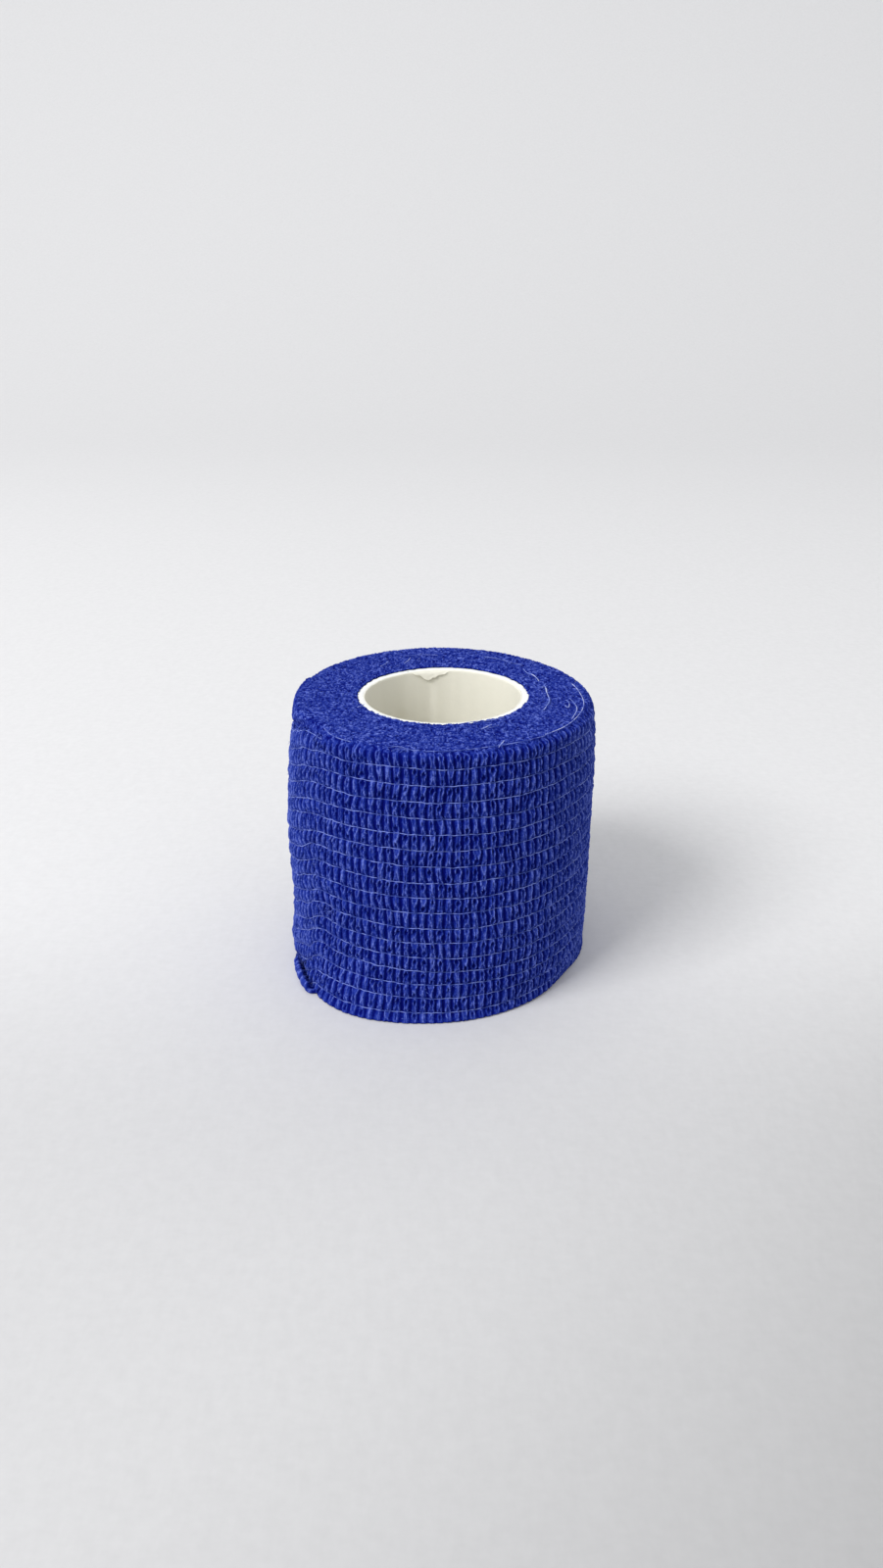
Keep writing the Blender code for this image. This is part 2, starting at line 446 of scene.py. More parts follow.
@dataclass(frozen=True)
class Crumb:
    """The crumbly relief of the turns' edges: short curled ridges with a fine grain between."""

    depth: float = 0.28
    curl: float = 0.43
    grain: float = 0.23
    seed: int = 87

    def relief(self, points: np.ndarray) -> np.ndarray:
        """The crumb's height, from 0 in a pit to 1 on a curl, at points in millimetres."""
        drift = np.stack([LatticeNoise(self.seed + n).space(points, 1.1) for n in range(3)], axis=-1)
        bent = points + 0.35 * drift
        curls = 1.0 - 2.1 * np.abs(LatticeNoise(self.seed + 5).space(bent, self.curl))
        more = 1.0 - 2.1 * np.abs(LatticeNoise(self.seed + 6).space(bent + 9.0, self.curl * 0.8))
        fine = LatticeNoise(self.seed + 8).space(points, self.grain)
        return np.clip(0.28 + 0.34 * curls + 0.28 * more + 0.38 * fine, 0.0, 1.0)


class Region(Enum):
    """Which of the wound strip's surfaces a column of cloth belongs to."""

    ROLL = "roll"
    LOOSE = "loose"


@dataclass(frozen=True)
class Strip:
    """Where each rib and thread of the outer turn lies on the roll."""

    form: RollForm
    puckers: Puckers
    crumb: Crumb
    row_pitch: float = 2.869
    first_thread: float = 1.5
    last_row: float = 17.7
    last_thread: int = 17
    calm_from: float = 17.3
    tightened: float = 0.7
    tight_from: float = 12.5
    slip_stretch: float = 0.012
    stretch_over: float = 14.0
    wander: float = 0.18
    bob: float = 0.15
    unrest: float = 1.3
    unrest_angle: float = 204.0
    unrest_spread: float = 24.0
    sheet: float = 1.1
    curl_radius: float = 0.66
    curl_radius_far: float = 0.50
    curl_widens_over: float = 18.0
    curl_opens_over: float = 3.2
    curl_rounds_over: float = 1.2
    curl_ends: float = 189.0
    curl_ends_over: float = 13.0
    leg_near: float = 1.0
    leg_far: float = 2.2
    under: float = 1.3
    bead_ribs: float = 1.45
    bead_unrest: float = 0.22
    bead_share: float = 0.30
    no_edge: float = 10.0
    seam: float = 0.05
    top_reach: float = 0.9

    def angle(self, rib: np.ndarray) -> np.ndarray:
        """The angle of a place given in ribs."""
        return self.form.loose_start - rib * 360.0 / self.puckers.ribs

    def bed(self, rib: np.ndarray) -> np.ndarray:
        """1 where the roll lies under the loose end, else 0."""
        place = rib % self.puckers.ribs
        return ((place > self.seam) & (place < LOOSE_RIBS - self.seam)).astype(float)

    def pitch(self, angle: np.ndarray, region: Region) -> np.ndarray:
        """The distance from thread to thread down the strip at each angle."""
        slip = self.form.slip(angle)
        side = self.form.strip_width - self.form.shoulder_drop
        squeezed = (side - slip) / side
        if region is Region.ROLL:
            return self.row_pitch * squeezed
        share = smooth_step((self.form.loose_start - angle) / self.stretch_over)
        stretched = 1.0 + self.slip_stretch * slip
        return self.row_pitch * (squeezed + (stretched - squeezed) * share)

    def unrested(self, rib: np.ndarray) -> np.ndarray:
        """How much more the cloth strays near the slipped end than elsewhere."""
        away = angle_between(self.angle(rib), self.unrest_angle)
        return 1.0 + self.unrest * bell(away / self.unrest_spread)

    def wandered(self, rib: np.ndarray, row: np.ndarray) -> np.ndarray:
        """The angle of each point, with the ribs' small sideways wander."""
        slow = self.puckers.noise(Weave.SLOW_WANDER, rib, row * 0.55)
        quick = self.puckers.noise(Weave.QUICK_WANDER, rib, row * 1.1)
        shift = self.wander * (0.9 * slow + 0.7 * quick)
        return self.angle(rib + shift * self.unrested(rib))

    def bobbed(self, rib: np.ndarray, row: np.ndarray) -> np.ndarray:
        """How far each point strays up or down from its even row."""
        slow = self.puckers.noise(Weave.SLOW_BOB, rib, row)
        quick = self.puckers.noise(Weave.QUICK_BOB, rib, row + 0.5)
        return self.bob * (slow + 0.4 * quick) * self.unrested(rib)

    def down(self, angle: np.ndarray, row: np.ndarray, region: Region) -> np.ndarray:
        """The distance of each row below the shoulder, along the cloth."""
        tight = self.tightened * smooth_step((row - self.tight_from) / (self.last_thread - self.tight_from))
        rows_down = self.first_thread / self.row_pitch + row - 1.0 - tight / self.row_pitch
        return rows_down * self.pitch(angle, region)

    def laid(self, rib: np.ndarray, angle: np.ndarray, rows: np.ndarray, region: Region) -> np.ndarray:
        """The distance of each row below the shoulder where it strays, and calm at the last rows."""
        down = self.down(angle[:, None], rows[None, :], region)
        return down + self.bobbed(rib[:, None], rows[None, :]) * (rows < self.calm_from)

    def section(self, angle: np.ndarray, down: np.ndarray, inset: np.ndarray) -> tuple:
        """Points of the cloth's outer face on the roll.

        Args:
            angle: One angle for each column.
            down: Distance below the shoulder along the cloth, columns by rows; negative is above it.
            inset: How far each column lies inside the outer turn.

        Returns:
            Radius, height and the outward direction's radial and upward parts, columns by rows.
        """
        form = self.form
        top = form.shoulder_height(angle)[:, None]
        height = top - down
        radius = form.outer_radius(angle[:, None], np.minimum(height, top)) - inset[:, None]
        out_r, out_z = np.ones_like(radius), np.zeros_like(radius)
        length, arc_r, arc_z = form.shoulder_arc(angle, inset)
        for column in range(len(angle)):
            above = down[column] < 0.0
            if not above.any():
                continue
            along = -down[column, above]
            r = np.interp(along, length[column], arc_r[column])
            z = np.interp(along, length[column], arc_z[column])
            past = np.maximum(along - length[column, -1], 0.0)
            turned = 0.5 * math.pi * smooth_step(along / length[column, -1])
            radius[column, above] = r - past
            height[column, above] = z
            out_r[column, above] = np.cos(turned)
            out_z[column, above] = np.sin(turned)
        lean = form.lean(angle)[:, None] * (inset[:, None] == 0.0)
        radius = radius - lean * smooth_step((self.first_thread - down) / self.row_pitch)
        return radius, height, out_r, out_z

    def bead(self, angle: np.ndarray) -> np.ndarray:
        """1 at the middle of each bump along the curl, falling to 0 in the creases between."""
        rib = (self.form.loose_start - angle) * self.puckers.ribs / 360.0
        uneven = self.bead_unrest * Weave.BEADS.at(angle / 360.0)
        return np.sqrt(np.abs(np.sin(math.pi * (rib + uneven) / self.bead_ribs)) + HAIR)

    def curled(self, angle: np.ndarray, down: np.ndarray) -> tuple:
        """Points of the loose end's outer face, down the side and round the curl at its foot.

        The curl dwindles towards the back, and the last of the cloth is tucked under there.

        Args:
            angle: One angle for each column.
            down: Distance below the shoulder along the cloth, columns by rows.

        Returns:
            Radius, height, the outward direction's two parts, how far each point belongs to the
            open curl, and its distance from the cloth's edge where it is on the curl.
        """
        form = self.form
        radius, height, out_r, out_z = self.section(angle, down, np.zeros_like(angle))
        hidden = 1.0 - np.clip((angle - self.curl_ends) / self.curl_ends_over, 0.0, 1.0)
        opened = np.clip((form.loose_start - angle) / self.curl_opens_over, 0.0, 1.0) * (1.0 - hidden)
        half = self.sheet / 2.0
        sweep = math.pi * opened
        widened = smooth_step((angle - self.curl_ends) / self.curl_widens_over)
        curl_radius = self.curl_radius_far + (self.curl_radius - self.curl_radius_far) * widened
        centre = (curl_radius + half) * np.sin(np.minimum(sweep, math.pi / 2.0))
        share = (form.loose_start - angle) / (form.loose_start - form.loose_finish)
        leg = opened**2 * (self.leg_near + (self.leg_far - self.leg_near) * share)
        leg = leg * (1.0 - self.bead_share * (1.0 - self.bead(angle)))
        wall = form.shoulder_height(angle) - centre
        finish = self.down(angle, np.full_like(angle, self.last_row), Region.LOOSE)
        room = sweep * curl_radius + leg + self.under * hidden**2
        past = (down - wall[:, None]) / np.maximum(finish - wall, HAIR)[:, None] * room[:, None]
        on_curl = down > wall[:, None]
        past = np.where(on_curl, past, 0.0)
        bend = curl_radius[:, None]
        lean = np.minimum(past / bend, sweep[:, None])
        straight = past - lean * bend
        foot = (form.outer_radius(angle, centre) - half)[:, None]
        mid_r = foot + bend * (1.0 - np.cos(lean)) + straight * (np.sin(lean) - hidden[:, None])
        mid_z = centre[:, None] - bend * np.sin(lean) - straight * np.cos(lean)
        radius = np.where(on_curl, mid_r + half * np.cos(lean), radius)
        height = np.where(on_curl, mid_z + half * np.sin(lean), height)
        out_r = np.where(on_curl, np.cos(lean), out_r)
        out_z = np.where(on_curl, np.sin(lean), out_z)
        left = np.where(on_curl, room[:, None] - past, self.no_edge)
        curl = smooth_step(past / self.curl_rounds_over) * opened[:, None]
        return radius, height, out_r, out_z, curl, left


def deselect() -> None:
    """Leave nothing selected, so that an operator acts on the new object alone."""
    for thing in bpy.context.selected_objects:
        thing.select_set(False)


def take_new(name: str) -> bpy.types.Object:
    """Name the object that an operator has just added, and its mesh."""
    thing = bpy.context.active_object
    thing.name = name
    thing.data.name = name
    return thing


def set_points(thing: bpy.types.Object, points: np.ndarray) -> None:
    """Put a mesh's vertices at points in millimetres, measured from the roll's axis."""
    thing.location = (0.0, 0.0, 0.0)
    placed = points.reshape(-1, 3) * MM + ROLL_AXIS
    thing.data.vertices.foreach_set("co", placed.astype(np.float32).ravel())
    thing.data.update()


def set_mask(thing: bpy.types.Object, name: str, values: np.ndarray) -> None:
    """Store one number for each vertex, for the materials to read."""
    layer = thing.data.attributes.new(name, "FLOAT", "POINT")
    layer.data.foreach_set("value", values.astype(np.float32).ravel())


def round_points(angle: np.ndarray, radius: np.ndarray, height: np.ndarray) -> np.ndarray:
    """Points from an angle, a radius and a height, all in arrays of the same shape."""
    turn = np.radians(angle)
    return np.stack([radius * np.cos(turn), radius * np.sin(turn), height], axis=-1)


def spread_between(first: np.ndarray, last: np.ndarray, count: int) -> np.ndarray:
    """Evenly spaced values from first to last, columns by count."""
    share = np.linspace(0.0, 1.0, count)[None, :]
    return first[:, None] + (last - first)[:, None] * share


def closed_twice(values: np.ndarray) -> np.ndarray:
    """Repeat the first column and the first row at the end, so that a grid meets itself."""
    values = np.concatenate([values, values[:1]], axis=0)
    return np.concatenate([values, values[:, :1]], axis=1)


def ring_piece(name: str, points: np.ndarray, crest: np.ndarray) -> bpy.types.Object:
    """A closed ring from a grid primitive that is bent round until its edges meet.

    Args:
        name: The piece's name.
        points: Columns round the roll by points round the section, in millimetres.
        crest: The crest mask, in the same order.

    Returns:
        The finished object, smooth, with its faces turned outwards.
    """
    thing = grid_piece(name, closed_twice(points), closed_twice(crest))
    join_edges(capped=False)
    thing.data.shade_smooth()
    return thing


def band_piece(name: str, points: np.ndarray, crest: np.ndarray) -> bpy.types.Object:
    """A band that is closed round its section and capped at its two ends.

    Args:
        name: The piece's name.
        points: Columns along the band by points round its section, in millimetres.
        crest: The crest mask, in the same order.

    Returns:
        The finished object, smooth but for its caps, with its faces turned outwards.
    """
    wrapped = np.concatenate([points, points[:, :1]], axis=1)
    thing = grid_piece(name, wrapped, np.concatenate([crest, crest[:, :1]], axis=1))
    join_edges(capped=True)
    bpy.ops.object.shade_smooth_by_angle(angle=math.radians(CAP_ANGLE))
    return thing


def grid_piece(name: str, points: np.ndarray, crest: np.ndarray) -> bpy.types.Object:
    """A grid primitive moved onto points that are given in columns by rows."""
    columns, rows = points.shape[:2]
    deselect()
    bpy.ops.mesh.primitive_grid_add(x_subdivisions=columns - 1, y_subdivisions=rows - 1, size=0.02)
    thing = take_new(name)
    set_points(thing, points.transpose(1, 0, 2))
    set_mask(thing, CREST_PAINTED_LIGHT, crest.T)
    return thing


def join_edges(capped: bool) -> None:
    """Join the active mesh's edges that meet, cap its ends if asked and turn its faces outwards."""
    bpy.ops.object.mode_set(mode="EDIT")
    bpy.ops.mesh.select_all(action="SELECT")
    bpy.ops.mesh.remove_doubles(threshold=WELD)
    if capped:
        bpy.ops.mesh.fill_holes(sides=0)
        bpy.ops.mesh.select_all(action="SELECT")
    bpy.ops.mesh.normals_make_consistent(inside=False)
    bpy.ops.object.mode_set(mode="OBJECT")


def threads_piece(name: str, paths: list[np.ndarray], thickness: float, sides: int) -> bpy.types.Object:
    """Round threads along paths, made as one bevelled curve and then a mesh.

    Args:
        name: The piece's name.
        paths: Each thread's points, in millimetres from the roll's axis.
        thickness: The threads' diameter, in millimetres.
        sides: Blender's bevel resolution, FOUR_SIDES or SIX_SIDES.

    Returns:
        The threads as one mesh object.
    """
    curve = bpy.data.curves.new(name, "CURVE")
    curve.dimensions = "3D"
    curve.bevel_depth = thickness * MM / 2.0
    curve.bevel_resolution = sides
    curve.use_fill_caps = True
    for path in paths:
        spline = curve.splines.new("POLY")
        spline.points.add(len(path) - 1)
        placed = np.concatenate([path * MM + ROLL_AXIS, np.ones((len(path), 1))], axis=1)
        spline.points.foreach_set("co", placed.astype(np.float32).ravel())
    thing = bpy.data.objects.new(name, curve)
    bpy.context.scene.collection.objects.link(thing)
    deselect()
    thing.select_set(True)
    bpy.context.view_layer.objects.active = thing
    bpy.ops.object.convert(target="MESH")
    thing = take_new(name)
    thing.data.shade_smooth()
    return thing


def dress(thing: bpy.types.Object, look: bpy.types.Material) -> None:
    """Give a piece its material and the body that it rides on."""
    thing.data.materials.clear()
    thing.data.materials.append(look)
    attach(thing, BODY)
    log.info("%s: %d faces", thing.name, len(thing.data.polygons))


@dataclass(frozen=True)
class Stretch:
    """A stretch of the outer turn, from one rib to another, and how finely it is meshed."""

    name: str
    first: int
    last: int
    per_rib: int
    steps: tuple[float, ...]
    crumb_rows: int = 24
    covered: bool = False


FINE_STEPS = (0.0, 0.09, 0.19, 0.30, 0.42, 0.54, 0.67, 0.80, 0.91)
BACK_STEPS = (0.0, 0.13, 0.32, 0.55, 0.80)
COVERED_STEPS = (0.0, 0.35, 0.70)


@dataclass
class OuterTurn:
    """The outer turn of the strip, with the shoulder that it makes over the turns' edges."""

    strip: Strip
    stretches: tuple[Stretch, ...] = (
        Stretch("outer_turn_left", 92, 116, 16, FINE_STEPS),
        Stretch("outer_turn_right", 68, 92, 16, FINE_STEPS),
        Stretch("outer_turn_back", LOOSE_RIBS, 68, 10, BACK_STEPS),
        Stretch("covered_turn", 0, LOOSE_RIBS, 12, COVERED_STEPS, crumb_rows=40, covered=True),
    )
    inner_radius: float = 23.0
    foot_rows: tuple[float, ...] = (17.0, 17.10, 17.24, 17.40, 17.55, 17.66)
    foot_round: float = 0.36
    foot_under: float = 1.6
    inner_from: float = 0.8
    inner_to: float = 0.2
    hem_from: float = 17.05
    hem_over: float = 0.6
    hem_calm: float = 0.75
    hem_plain: float = 0.35
    top_depth: float = 0.66
    top_over: float = 1.1
    crumb_from: float = 0.30
    crumb_ragged: float = 0.34
    crumb_over: float = 0.70
    # How dark the foot's rows are painted: painted shade where the roll meets the floor.
    foot_painted_shade: float = 0.4
    hidden_tone: float = 0.25

    def build(self) -> list[bpy.types.Object]:
        """Make each stretch as one closed band."""
        return [self._stretch(part) for part in self.stretches]

    def _stretch(self, part: Stretch) -> bpy.types.Object:
        """One stretch: its puckered side, its shoulder and the hidden inner side."""
        strip, form = self.strip, self.strip.form
        rib = np.linspace(part.first, part.last, (part.last - part.first) * part.per_rib + 1)
        angle = strip.angle(rib) - EDGE_MARGIN
        rows = (np.arange(strip.last_thread)[:, None] + np.array(part.steps)[None, :]).ravel()
        rows = np.concatenate([rows, self.foot_rows])[::-1]
        down = strip.laid(rib, angle, rows, Region.ROLL)
        inset = np.full_like(angle, form.bed_depth if part.covered else 0.0)
        length = form.shoulder_arc(angle, inset)[0][:, -1]
        share = np.linspace(0.0, 1.0, part.crumb_rows + 1)[None, 1:]
        over = down[:, -1:] - share * (length[:, None] + strip.top_reach + down[:, -1:])
        down = np.concatenate([down, over], axis=1)
        tall_rows = np.broadcast_to(rows, (len(rib), len(rows)))
        row = np.concatenate([tall_rows, -share * np.ones((len(rib), 1))], axis=1)
        radius, height, out_r, out_z = strip.section(angle, down, inset)
        lift = form.lift(angle)[:, None]
        height = np.maximum(height, self.foot_round + lift)
        turned = strip.wandered(rib[:, None], row)
        inner_ribs = np.clip(rib, part.first + HAIR, part.last - HAIR)
        depth, crest = strip.puckers.relief(inner_ribs[:, None], np.maximum(row, 0.0))
        hem = smooth_step((row - self.hem_from) / self.hem_over)
        depth = depth * (1.0 - self.hem_calm * hem)
        depth = depth * (self.top_depth + (1.0 - self.top_depth) * smooth_step(row / self.top_over))
        crumb = strip.crumb.relief(round_points(turned, radius, height))
        ragged = self.crumb_ragged * strip.puckers.noise(Weave.CRUMB_EDGE, rib[:, None], row * 0.6)
        to_crumb = smooth_step((self.crumb_from + ragged - row) / self.crumb_over)
        depth = depth * (1.0 - to_crumb) + strip.crumb.depth * (1.0 - crumb) * to_crumb
        points = round_points(turned, radius - depth * out_r, height - depth * out_z)
        # The mask paints light: the crest mask's painted highlight and shade on the side, plainer at the hem,
        # and the crumb's height on the shoulder, painted highlight on its curls and painted shade in its
        # pits.
        plain = self.hem_plain * hem
        mask = (crest * (1.0 - plain) + 0.5 * plain) * (1.0 - to_crumb) + crumb * to_crumb
        foot = self._foot(turned[:, 0], radius[:, 0] - depth[:, 0], lift[:, 0])
        inside = self._inside(angle, points[:, -1])
        band = np.concatenate([foot, points, inside], axis=1)
        hidden = np.full(inside.shape[:2], self.hidden_tone)
        # The foot's rows take a share of the mask, darker: painted shade where the roll meets the floor.
        full = np.concatenate([self.foot_painted_shade * mask[:, :1]] * foot.shape[1] + [mask, hidden], axis=1)
        return band_piece(part.name, band, full)

    def _foot(self, angle: np.ndarray, radius: np.ndarray, lift: np.ndarray) -> np.ndarray:
        """The rounded lower edge, from under the roll out to the side."""
        deep = self.foot_round
        rows = [
            round_points(angle, radius - self.foot_under, lift),
            round_points(angle, radius - 0.75 * deep, 0.08 * deep + lift),
            round_points(angle, radius - 0.22 * deep, 0.42 * deep + lift),
        ]
        return np.stack(rows, axis=1)

    def _inside(self, angle: np.ndarray, rim: np.ndarray) -> np.ndarray:
        """The inner side, hidden in the roll, from under the rim down to the foot."""
        inner = np.full_like(angle, self.inner_radius)
        low = self.strip.form.lift(angle) + self.inner_to
        levels = [rim[:, 2] - self.inner_from, 0.5 * rim[:, 2], low]
        return np.stack([round_points(angle, inner, level) for level in levels], axis=1)


@dataclass
class LooseEnd:
    """The last stretch of the strip, slipped down at the left.

    Its foot curls out in round bumps, and farther back its hem is tucked under the roll.
    """

    strip: Strip
    per_rib: int = 16
    thickness: float = 0.35
    curl_thickness: float = 1.40
    crease_share: float = 0.26
    curl_calm: float = 0.6
    edge_round: float = 0.95
    least_edge: float = 0.02
    top_rows: tuple[float, ...] = (-0.20, -0.10)
    foot_from: int = 15
    foot_step: float = 0.075
    back_every: int = 3
    back_fine_from: float = 14.0
    floor_gap: float = 0.02
    # How much paler the lip is painted, as painted light, and how much paler each bump is than the creases
    # between, as painted highlight and painted shade.
    lip_painted_light: float = 0.40
    bead_painted_light: float = 0.38

    def build(self) -> bpy.types.Object:
        """Make the loose end as one thin closed sheet."""
        strip = self.strip
        rib = np.linspace(0, LOOSE_RIBS, LOOSE_RIBS * self.per_rib + 1)
        angle = np.maximum(strip.angle(rib), strip.form.loose_finish + EDGE_MARGIN)
        rows = (np.arange(self.foot_from)[:, None] + np.array(FINE_STEPS)[None, :]).ravel()
        foot_rows = np.arange(self.foot_from, strip.last_row + 0.01, self.foot_step)
        rows = np.concatenate([self.top_rows, rows, foot_rows])
        down = strip.laid(rib, angle, rows, Region.LOOSE)
        radius, height, out_r, out_z, curl, left = strip.curled(angle, down)
        inner_ribs = np.clip(rib, HAIR, LOOSE_RIBS - HAIR)
        depth, crest = strip.puckers.relief(inner_ribs[:, None], np.maximum(rows, 0.0)[None, :])
        bead = strip.bead(angle)[:, None]
        near_edge = 1.0 - np.clip(left / self.edge_round, 0.0, 1.0)
        rounded = np.sqrt(np.maximum(1.0 - near_edge**2, self.least_edge))
        lip = self.curl_thickness * (1.0 - self.crease_share * (1.0 - bead))
        thick = self.thickness + (lip - self.thickness) * curl
        thinned = 0.5 * thick * (1.0 - rounded) * curl
        depth = depth * (1.0 - self.curl_calm * curl) + thinned
        turned = strip.wandered(rib[:, None], rows[None, :])
        front = round_points(turned, radius - depth * out_r, height - depth * out_z)
        back_depth = depth * (1.0 - (1.0 + self.curl_calm) * curl) + thick
        back_depth = back_depth - thinned * (1.0 - self.curl_calm * curl)
        back = round_points(turned, radius - back_depth * out_r, height - back_depth * out_z)
        fine = rows > self.back_fine_from
        kept = [n for n in range(len(rows)) if fine[n] or n % self.back_every == 0][::-1]
        points = np.concatenate([front, back[:, kept]], axis=1)
        points[..., 2] = np.maximum(points[..., 2], self.floor_gap)
        # Painted light on the curled lip: the lip is painted paler, each bump paler and the creases between
        # darker as painted shade.
        on_lip = self.lip_painted_light + self.bead_painted_light * bead + 0.5 * (crest - 0.5)
        back_mask = crest * (1.0 - curl) + on_lip * curl
        front_mask = crest + (back_mask - crest) * near_edge * curl
        return band_piece("loose_end_cloth", points, np.concatenate([front_mask, back_mask[:, kept]], axis=1))


@dataclass
class TurnEdges:
    """The inner turns: their crumbly edges at the top and bottom, and the bore they leave."""

    strip: Strip
    bore: float = 15.2
    lip: float = 14.75
    columns: int = 880
    top_rows: int = 62
    bottom_rows: int = 20
    top_height: float = 50.05
    side_top: float = 48.6
    lip_height: float = 49.6
    lip_round: float = 0.3
    lip_drop: float = 0.12
    lip_ragged: float = 0.16
    overlap: float = 0.15
    overlap_drop: float = 0.5
    side_radius: float = 23.0
    spiral: float = 0.10
    hidden_tone: float = 0.2

    def _rim(self, angle: np.ndarray) -> np.ndarray:
        """The radius where the outer turn's shoulder takes over."""
        strip, form = self.strip, self.strip.form
        ribs = (form.loose_start - angle) * strip.puckers.ribs / 360.0
        inset = form.bed_depth * strip.bed(ribs)
        slip = form.slip(angle)
        start = form.outer_radius(angle, form.shoulder_height(angle))
        start = start - form.inset_at(inset, form.shoulder_drop + slip)
        start = start - form.shoulder_width + form.shoulder_less_per_slip * slip
        return start - form.lean(angle) * (inset == 0.0) - strip.top_reach

    def build(self) -> bpy.types.Object:
        """Make the inner turns as one closed ring."""
        crumb = self.strip.crumb
        angle = np.arange(self.columns) * 360.0 / self.columns
        rim = self._rim(angle)
        lip = self.lip * tube_oval(angle) + self.lip_ragged * Weave.BORE_EDGE.at(angle / 360.0)
        bore = self.bore * tube_oval(angle)
        radius = spread_between(rim + self.overlap, lip, self.top_rows)
        relief = crumb.relief(self._at(angle, radius, self.strip.form.strip_width))
        layers = (radius / self.strip.form.layer_pitch + angle[:, None] / 360.0) * 2.0 * math.pi
        height = self.top_height - crumb.depth * (1.0 - relief) + self.spiral * (np.cos(layers) - 1.0) / 2.0
        height = height - self.overlap_drop * smooth_step((radius - rim[:, None]) / self.overlap)
        inward = lip[:, None] + self.lip_round - radius
        height = height - self.lip_drop * smooth_step(inward / self.lip_round)
        top = self._at(angle, radius, height)
        low_radius = spread_between(bore, np.full_like(bore, self.side_radius), self.bottom_rows)
        low = self._at(angle, low_radius, 0.0)
        low_relief = crumb.relief(low)
        low[..., 2] = crumb.depth * (1.0 - low_relief)
        side = self._at(angle, np.full((self.columns, 1), self.side_radius), self.side_top)
        under_lip = self._at(angle, bore[:, None], self.lip_height)
        wall = self._at(angle, bore[:, None], self.side_top)
        points = np.concatenate([side, top, under_lip, wall, low], axis=1)
        # The end face's colour follows the crumb's height: painted highlight on the curls and painted shade
        # in the pits; the faces that never show get a plain tone.
        plain = np.full((self.columns, 1), self.hidden_tone)
        mask = np.concatenate([plain, relief, plain, plain, low_relief], axis=1)
        return ring_piece("turn_edges", points, mask)

    @staticmethod
    def _at(angle: np.ndarray, radius: np.ndarray, height: np.ndarray | float) -> np.ndarray:
        """Points in columns round the roll, from an angle for each column."""
        return round_points(*np.broadcast_arrays(angle[:, None], radius, height))


@dataclass
class ElasticThreads:
    """The fine elastic threads that gather the web, laid in the rows where they pinch it."""

    strip: Strip
    thickness: float = 0.14
    sunk: float = 0.47
    dip: float = 0.10
    stray: float = 0.19
    jog: float = 0.09
    sag: float = 0.05
    per_rib: int = 4
    tail: float = 1.6
    tail_bend: float = 0.25
    tail_points: int = 5

    def _path(self, first: int, last: int, row: int, region: Region) -> np.ndarray:
        """One thread from one rib to another."""
        strip, puckers = self.strip, self.strip.puckers
        rib = np.linspace(first, last, (last - first) * self.per_rib + 1)
        angle = strip.angle(rib)
        rib = rib[:, None]
        rows = np.full_like(rib, float(row))
        between = np.cos(2.0 * math.pi * rib)
        down = strip.down(angle[:, None], rows, region) + strip.bobbed(rib, rows)
        down = down + self.jog * puckers.noise(Weave.THREAD_JOG, rib, rows + 0.3)
        down = down + self.sag * between
        if region is Region.LOOSE:
            angle = np.maximum(angle, strip.form.loose_finish + EDGE_MARGIN)
            radius, height, out_r, out_z, *_ = strip.curled(angle, down)
        else:
            radius, height, out_r, out_z = strip.section(angle, down, np.zeros_like(angle))
        slow = puckers.noise(Weave.SLOW_THREAD, rib, rows + 0.5)
        quick = puckers.noise(Weave.QUICK_THREAD, rib, rows + 0.5)
        depth = self.sunk + self.dip * between + self.stray * (0.6 * slow + 0.6 * quick)
        height = np.maximum(height - depth * out_z, self.thickness)
        return round_points(strip.wandered(rib, rows), radius - depth * out_r, height)[:, 0]

    def build_roll(self) -> bpy.types.Object:
        """The threads of the outer turn."""
        rows = range(1, self.strip.last_thread + 1)
        paths = [self._path(LOOSE_RIBS, self.strip.puckers.ribs, row, Region.ROLL) for row in rows]
        return threads_piece("elastic_threads", paths, self.thickness, SIX_SIDES)

    def build_loose(self) -> bpy.types.Object:
        """The threads of the loose end, each with a short frayed tail past the cut edge."""
        draw = np.random.default_rng(Seed.THREAD_TAILS)
        paths = []
        for row in range(self.strip.last_thread + 1):
            path = self._path(0, LOOSE_RIBS, row, Region.LOOSE)
            reach = self.tail * draw.uniform(0.3, 1.0)
            steps = np.linspace(0.2, 1.0, self.tail_points)[:, None]
            along = path[-1] - path[-3]
            along = along / np.linalg.norm(along)
            out = np.array([path[-1][0], path[-1][1], 0.0])
            out = out / np.linalg.norm(out)
            rise, _ = draw.uniform(-0.6, 0.6, 2)
            bend = self.tail_bend * out + [0.0, 0.0, rise]
            tail = path[-1] + reach * (steps * along + steps**2 * bend)
            tail[:, 2] = np.maximum(tail[:, 2], self.thickness)
            paths.append(np.concatenate([path, tail]))
        return threads_piece("loose_end_threads", paths, self.thickness, SIX_SIDES)


@dataclass(frozen=True)
class Run:
    """A stray thread on the end face: angles and radii along it, and how high it lies."""

    places: tuple[tuple[float, float], ...]
    height: float = 50.08
    thickness: float = 0.11


